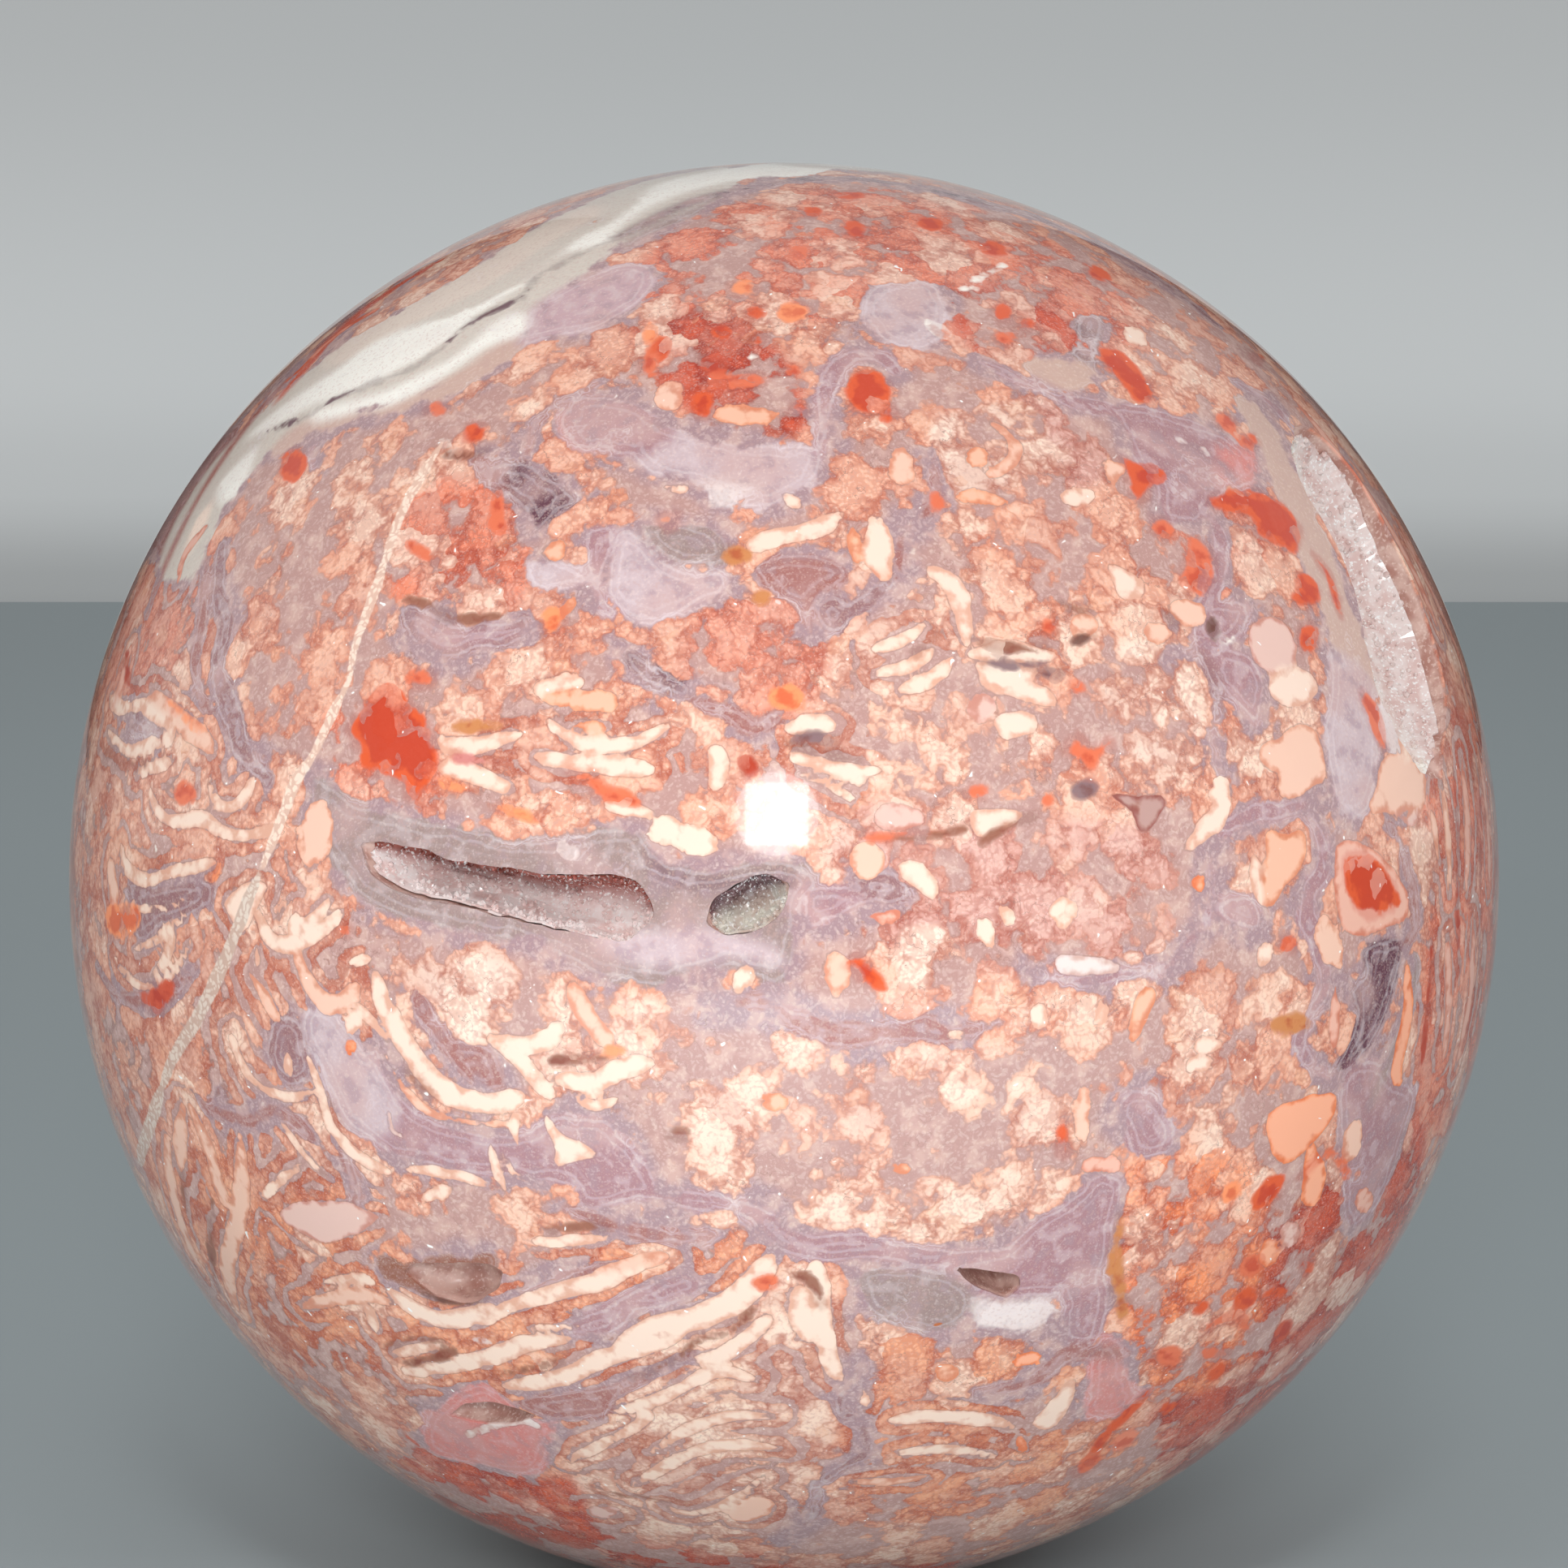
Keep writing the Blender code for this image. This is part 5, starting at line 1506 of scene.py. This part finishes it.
def polish_normals(mesh):
    """Gives the polished skin the exact normals of a ball, and leaves the pockets their own."""
    reach = np.linalg.norm(places, axis=1)
    on_skin = (reach > RADIUS / MM - 0.004) & (places[:, 2] > -CENTRE.z / MM + 0.01)
    mesh.shade_smooth()
    corner_points = np.empty(len(mesh.loops), np.int32)
    mesh.loops.foreach_get("vertex_index", corner_points)
    own = np.empty(len(mesh.loops) * 3, np.float32)
    mesh.corner_normals.foreach_get("vector", own)
    own = own.reshape(-1, 3)
    face_of_corner = np.repeat(np.arange(len(mesh.polygons)), 3)
    skin_face = on_skin[corner_points].reshape(-1, 3).all(axis=1)
    flat = np.empty(len(mesh.polygons) * 3, np.float32)
    mesh.polygon_normals.foreach_get("vector", flat)
    flat = flat.reshape(-1, 3)
    out = (places / reach[:, None]).astype(np.float32)
    skin_corner = skin_face[face_of_corner]
    own[skin_corner] = out[corner_points[skin_corner]]
    rim_corner = ~skin_corner & on_skin[corner_points]
    own[rim_corner] = flat[face_of_corner[rim_corner]]
    mesh.normals_split_custom_set(own.tolist())


polish_normals(stone_mesh)
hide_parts("agate_sphere")
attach(stone, "root")


# The druse: a crust of small clear quartz points that grew inward from the walls of the three
# vugs. Each point is a six-sided prism with a pyramid on it, rooted in a thin bed of quartz.

DRUSE_SEED = 5
BED_INSET = 0.16
BED_THICKNESS = 0.1
RIM_DEPTH = 0.35
TINT_SPREAD = 0.8
POINTS_AT_ONCE = 20000
# node of the solid crust, stations, points of quartz for each square millimetre, longest point,
# tones of the quartz on the pocket's floor and on its upper wall, the upper one darker, partly as painted shade
DRUSES = [
    ("long_vug_crystals", LONG_VUG, 8.0, 0.42, "vug_grey", "vug_brown"),
    ("small_vug_crystals", SMALL_VUG, 9.0, 0.42, "glass_green", "grey"),
    ("side_vug_crystals", SIDE_VUG, 4.0, 0.5, "silver", "pale_lilac"),
]


def druse_tree():
    """Quartz points strewn over a wall, turned at random and leaning a little."""
    sizes = {
        "Density": "NodeSocketFloat",
        "Longest": "NodeSocketFloat",
        "Bed": "NodeSocketFloat",
        "Seed": "NodeSocketInt",
        "Quartz": "NodeSocketMaterial",
    }
    tree, given, result = new_shape_tree("quartz_points", sizes)
    wall = given.outputs["Geometry"]
    strewn = put(tree, "GeometryNodeDistributePointsOnFaces",
                 {"Mesh": wall, "Density": given.outputs["Density"], "Seed": given.outputs["Seed"]})
    prism = put(tree, "GeometryNodeMeshCylinder", {"Vertices": 6, "Radius": 0.34, "Depth": 0.36}, fill_type="NONE")
    tip = put(tree, "GeometryNodeMeshCone",
              {"Vertices": 6, "Radius Top": 0.0, "Radius Bottom": 0.34, "Depth": 0.36}, fill_type="NONE")
    root = put(tree, "GeometryNodeMeshCircle", {"Vertices": 6, "Radius": 0.34}, fill_type="NGON")
    root = put(tree, "GeometryNodeFlipFaces", {"Mesh": root.outputs["Mesh"]})
    tip = put(tree, "GeometryNodeTransform", {"Geometry": tip.outputs["Mesh"], "Translation": (0, 0, 0.18)})
    root = put(tree, "GeometryNodeTransform", {"Geometry": root.outputs["Mesh"], "Translation": (0, 0, -0.18)})
    parts = tree.nodes.new("GeometryNodeJoinGeometry")
    for part in (prism.outputs["Mesh"], tip.outputs[0], root.outputs[0]):
        tree.links.new(part, parts.inputs[0])
    crystal = put(tree, "GeometryNodeMergeByDistance", {"Geometry": parts.outputs[0], "Distance": 0.001})
    lean = put(tree, "FunctionNodeRandomValue",
               {0: (-0.45, -0.45, -3.14), 1: (0.45, 0.45, 3.14), "Seed": given.outputs["Seed"]},
               data_type="FLOAT_VECTOR")
    turned = put(tree, "FunctionNodeRotateRotation",
                 {0: strewn.outputs["Rotation"], 1: lean.outputs[0]}, rotation_space="LOCAL")
    spread = put(tree, "FunctionNodeRandomValue", {2: 0.35, 3: 1.0, "Seed": given.outputs["Seed"]})
    size = reckon(tree, "MULTIPLY", spread.outputs[1], given.outputs["Longest"])
    planted = put(tree, "GeometryNodeInstanceOnPoints",
                  {"Points": strewn.outputs["Points"], "Instance": crystal.outputs[0],
                   "Rotation": turned.outputs[0], "Scale": size})
    real = put(tree, "GeometryNodeRealizeInstances", {"Geometry": planted.outputs[0]})
    behind = put(tree, "GeometryNodeFlipFaces", {"Mesh": wall})
    behind = put(tree, "GeometryNodeExtrudeMesh",
                 {"Mesh": behind.outputs[0], "Offset Scale": given.outputs["Bed"], "Individual": False})
    shell = tree.nodes.new("GeometryNodeJoinGeometry")
    tree.links.new(wall, shell.inputs[0])
    tree.links.new(behind.outputs["Mesh"], shell.inputs[0])
    bed = put(tree, "GeometryNodeMergeByDistance", {"Geometry": shell.outputs[0], "Distance": 1e-6})
    both = tree.nodes.new("GeometryNodeJoinGeometry")
    tree.links.new(bed.outputs[0], both.inputs[0])
    tree.links.new(real.outputs[0], both.inputs[0])
    clear = put(tree, "GeometryNodeSetMaterial",
                {"Geometry": both.outputs[0], "Material": given.outputs["Quartz"]})
    tree.links.new(clear.outputs[0], result.inputs[0])
    return tree


def wall_mesh(stations, name):
    """The lining of a pocket below its mouth, facing into the pocket."""
    builder = bmesh.new()
    loops = []
    for ring in pod_rings(stations, BED_INSET)[1:-1]:
        loops.append([builder.verts.new(p) for p in ring[: POD_POINTS // 2]])
    deepest = RADIUS - RIM_DEPTH * MM
    for a, b in zip(loops, loops[1:]):
        for i in range(POD_POINTS // 2 - 1):
            corners = (a[i], b[i], b[i + 1], a[i + 1])
            if max((c.co - CENTRE).length for c in corners) < deepest:
                builder.faces.new(corners)
    loose = [v for v in builder.verts if not v.link_faces]
    bmesh.ops.delete(builder, geom=loose, context="VERTS")
    middle = sum((v.co for v in builder.verts), Vector()) / len(builder.verts)
    mouth = CENTRE + (middle - CENTRE).normalized() * RADIUS
    inward = sum((f.normal.dot(mouth - f.calc_center_median()) for f in builder.faces if not f.normal_update()))
    if inward < 0:
        bmesh.ops.reverse_faces(builder, faces=builder.faces)
    mesh = bpy.data.meshes.new(name)
    builder.to_mesh(mesh)
    builder.free()
    return mesh


def tint_druse(mesh, stations, floor_tone, shaded_upper_tone):
    """Keeps the quartz's tint on its points, which changes across the pocket from side to side: the upper side's darker
    tone is partly painted shade.
    """
    for _ in range(POD_SMOOTHINGS):
        stations = smoothed(stations)
    line = [outward(s[0], s[1]) for s in stations]
    widths = np.array([max(s[2], NARROWEST) for s in stations])
    sides = [line[i].cross(line[min(i + 1, len(line) - 1)] - line[max(i - 1, 0)]) for i in range(len(line))]
    sides = np.array([tuple(s.normalized()) for s in sides])
    line = np.array([tuple(p * RADIUS / MM) for p in line])
    spots = np.empty(len(mesh.vertices) * 3)
    mesh.vertices.foreach_get("co", spots)
    spots = (spots.reshape(-1, 3) - np.array(CENTRE)) / MM
    rise = np.empty(len(spots))
    for start in range(0, len(spots), POINTS_AT_ONCE):
        part = spots[start : start + POINTS_AT_ONCE]
        near = ((part[:, None] - line[None]) ** 2).sum(axis=2).argmin(axis=1)
        rise[start : start + POINTS_AT_ONCE] = ((part - line[near]) * sides[near]).sum(axis=1) / widths[near]
    # the upper side of the pocket takes the darker upper tone, partly painted shade under the lip
    share = np.clip(rise / TINT_SPREAD + 0.25, 0, 1)[:, None]
    keep_colour(mesh, "tint", colour_of(floor_tone) * (1 - share) + colour_of(shaded_upper_tone) * share)


def quartz_material():
    material = bpy.data.materials.new("druse_quartz")
    material.use_nodes = True
    tree = material.node_tree
    surface = tree.nodes["Principled BSDF"]
    place = stretched(tree, tree.nodes.new("ShaderNodeTexCoord").outputs["Object"], 1 / MM)
    cloud, _ = speckle(tree, place, 0.8, 3.0)
    fine, _ = speckle(tree, place, 0.15, 2.0)
    tint = kept(tree, "tint").outputs["Color"]
    dusky = mixed(tree, 1.0, tint, (0.88, 0.74, 0.72, 1), "MULTIPLY")
    colour = mixed(tree, ramped(tree, cloud, 0.35, 0.6), dusky, tint)
    # white specks over the quartz: painted glints
    colour = mixed(tree, ramped(tree, fine, 0.56, 0.66, 0.0, 0.85), colour, (0.97, 0.95, 0.94, 1))
    tree.links.new(colour, surface.inputs["Base Color"])
    surface.inputs["Roughness"].default_value = 0.1
    surface.inputs["IOR"].default_value = QUARTZ_IOR
    surface.inputs["Transmission Weight"].default_value = 0.1
    return material


points_of_quartz = druse_tree()
quartz = quartz_material()
for node, stations, density, longest, floor_tone, shaded_upper_tone in DRUSES:
    name = node.replace("crystals", "druse")
    sizes = {
        "Density": density / MM**2,
        "Longest": longest * MM,
        "Bed": BED_THICKNESS * MM,
        "Seed": DRUSE_SEED,
        "Quartz": quartz,
    }
    druse_mesh = shaped_by(wall_mesh(stations, name), points_of_quartz, sizes, name)
    tint_druse(druse_mesh, stations, floor_tone, shaded_upper_tone)
    druse = bpy.data.objects.new(name, druse_mesh)
    bpy.context.scene.collection.objects.link(druse)
    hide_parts(node)
    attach(druse, "root")


# The studio: a grey table that ends behind the ball, a pale wall further back, a small square light
# with a soft rim close to the camera for the highlight, a light above and a little behind, a beam on
# the table in front, and a room that is brightest on the camera's side.

TABLE_WIDTH = 3.0
TABLE_BACK = 0.29
TABLE_FRONT = -1.2
WALL_BACK = 1.4
WALL_WIDTH = 0.56
WALL_FOOT = -0.4
WALL_TOP = 1.0
ROOM_LIGHT = 0.76
ROOM_FAR_SIDE = 0.04
BEAM_SIDE = 0.12
BEAM_POWER = 0.65
BEAM_SPREAD = math.radians(34)
BEAM_TARGET = (0.0, -0.27, 0.0)

# how far along, in metres, and the shade there
# behind the ball the shades are painted light and shade: the table darkens to its back edge, the wall low down and
# towards its top
TABLE_SHADES = [(0.29, 0.238), (0.16, 0.278), (0.0, 0.335), (-0.04, 0.6), (-0.09, 0.88), (-1.2, 0.88)]
WALL_SHADES = [(-0.4, 0.26), (-0.2, 0.27), (-0.18, 0.41), (-0.15, 0.61), (-0.12, 0.67), (0.0, 0.54), (1.0, 0.58)]
TABLE_GREY = (0.85, 1.0, 1.05)
WALL_GREY = (0.96, 1.0, 1.01)


def graded_material(name, axis, shades, grey, roughness):
    """A matt grey whose shade changes softly along one axis, painting how the light falls off over it."""
    material = bpy.data.materials.new(name)
    material.use_nodes = True
    tree = material.node_tree
    surface = tree.nodes["Principled BSDF"]
    place = tree.nodes.new("ShaderNodeTexCoord").outputs["Object"]
    along = put(tree, "ShaderNodeSeparateXYZ", {0: place}).outputs[axis]
    first = min(spot for spot, _ in shades)
    last = max(spot for spot, _ in shades)
    share = put(tree, "ShaderNodeMapRange", {"Value": along, "From Min": first, "From Max": last}).outputs[0]
    ramp = put(tree, "ShaderNodeValToRGB", {0: share})
    ramp.color_ramp.interpolation = "EASE"
    stops = ramp.color_ramp.elements
    for i, (spot, shade) in enumerate(sorted(shades)):
        stop = stops[i] if i < 2 else stops.new(1.0)
        stop.position = (spot - first) / (last - first)
        stop.color = (*(shade * tint for tint in grey), 1)
    tree.links.new(ramp.outputs[0], surface.inputs["Base Color"])
    surface.inputs["Roughness"].default_value = roughness
    return material


def sheet(name, corners, material):
    mesh = bpy.data.meshes.new(name)
    mesh.from_pydata(corners, [], [(0, 1, 2, 3)])
    mesh.materials.append(material)
    made = bpy.data.objects.new(name, mesh)
    bpy.context.scene.collection.objects.link(made)
    return made


table_side = TABLE_WIDTH / 2
wall_side = WALL_WIDTH / 2
sheet("table", [(-table_side, TABLE_FRONT, 0), (table_side, TABLE_FRONT, 0), (table_side, TABLE_BACK, 0),
                (-table_side, TABLE_BACK, 0)], graded_material("table", "Y", TABLE_SHADES, TABLE_GREY, 0.5))
sheet("wall", [(-wall_side, WALL_BACK, WALL_FOOT), (wall_side, WALL_BACK, WALL_FOOT),
               (wall_side, WALL_BACK, WALL_TOP), (-wall_side, WALL_BACK, WALL_TOP)],
      graded_material("wall", "Z", WALL_SHADES, WALL_GREY, 0.9))


def soft_light(name, shape, direction, distance, width, height, power):
    """A soft light that shines on the ball from a direction."""
    light = bpy.data.lights.new(name, "AREA")
    light.shape = shape
    light.size = width
    light.size_y = height
    light.energy = power
    made = bpy.data.objects.new(name, light)
    way = Vector(direction).normalized()
    made.location = CENTRE + way * distance
    made.rotation_euler = way.to_track_quat("Z", "Y").to_euler()
    bpy.context.scene.collection.objects.link(made)
    return made


key_way = toward_camera + camera_up * math.tan(math.radians(9.2)) - Vector((math.tan(math.radians(1.1)), 0, 0))
for shape, width, power in (("SQUARE", 0.08, 0.34), ("DISK", 0.108, 0.26), ("DISK", 0.126, 0.08)):
    soft_light("key", shape, key_way, 0.5, width, width, power)
soft_light("overhead", "RECTANGLE", (0.0, 0.35, 1.0), 0.9, 0.7, 0.7, 0.12)

# a narrow beam on the table in front of the ball, out of the picture, that lights it from below
beam = soft_light("table_beam", "SQUARE", (0.0, -0.62, 0.6), 0.8, BEAM_SIDE, BEAM_SIDE, BEAM_POWER)
beam.data.spread = BEAM_SPREAD
beam.visible_glossy = False
beam.rotation_euler = (beam.location - Vector(BEAM_TARGET)).to_track_quat("Z", "Y").to_euler()

world = bpy.data.worlds.new("studio")
world.use_nodes = True
room = world.node_tree
way_out = room.nodes.new("ShaderNodeTexCoord").outputs["Generated"]
facing = put(room, "ShaderNodeVectorMath", {0: way_out, 1: toward_camera}, operation="DOT_PRODUCT")
strength = ramped(room, facing.outputs["Value"], -0.98, -0.4, ROOM_FAR_SIDE, ROOM_LIGHT)
room.links.new(strength, room.nodes["Background"].inputs["Strength"])
room.nodes["Background"].inputs["Color"].default_value = (1.0, 1.0, 1.0, 1)
bpy.context.scene.world = world
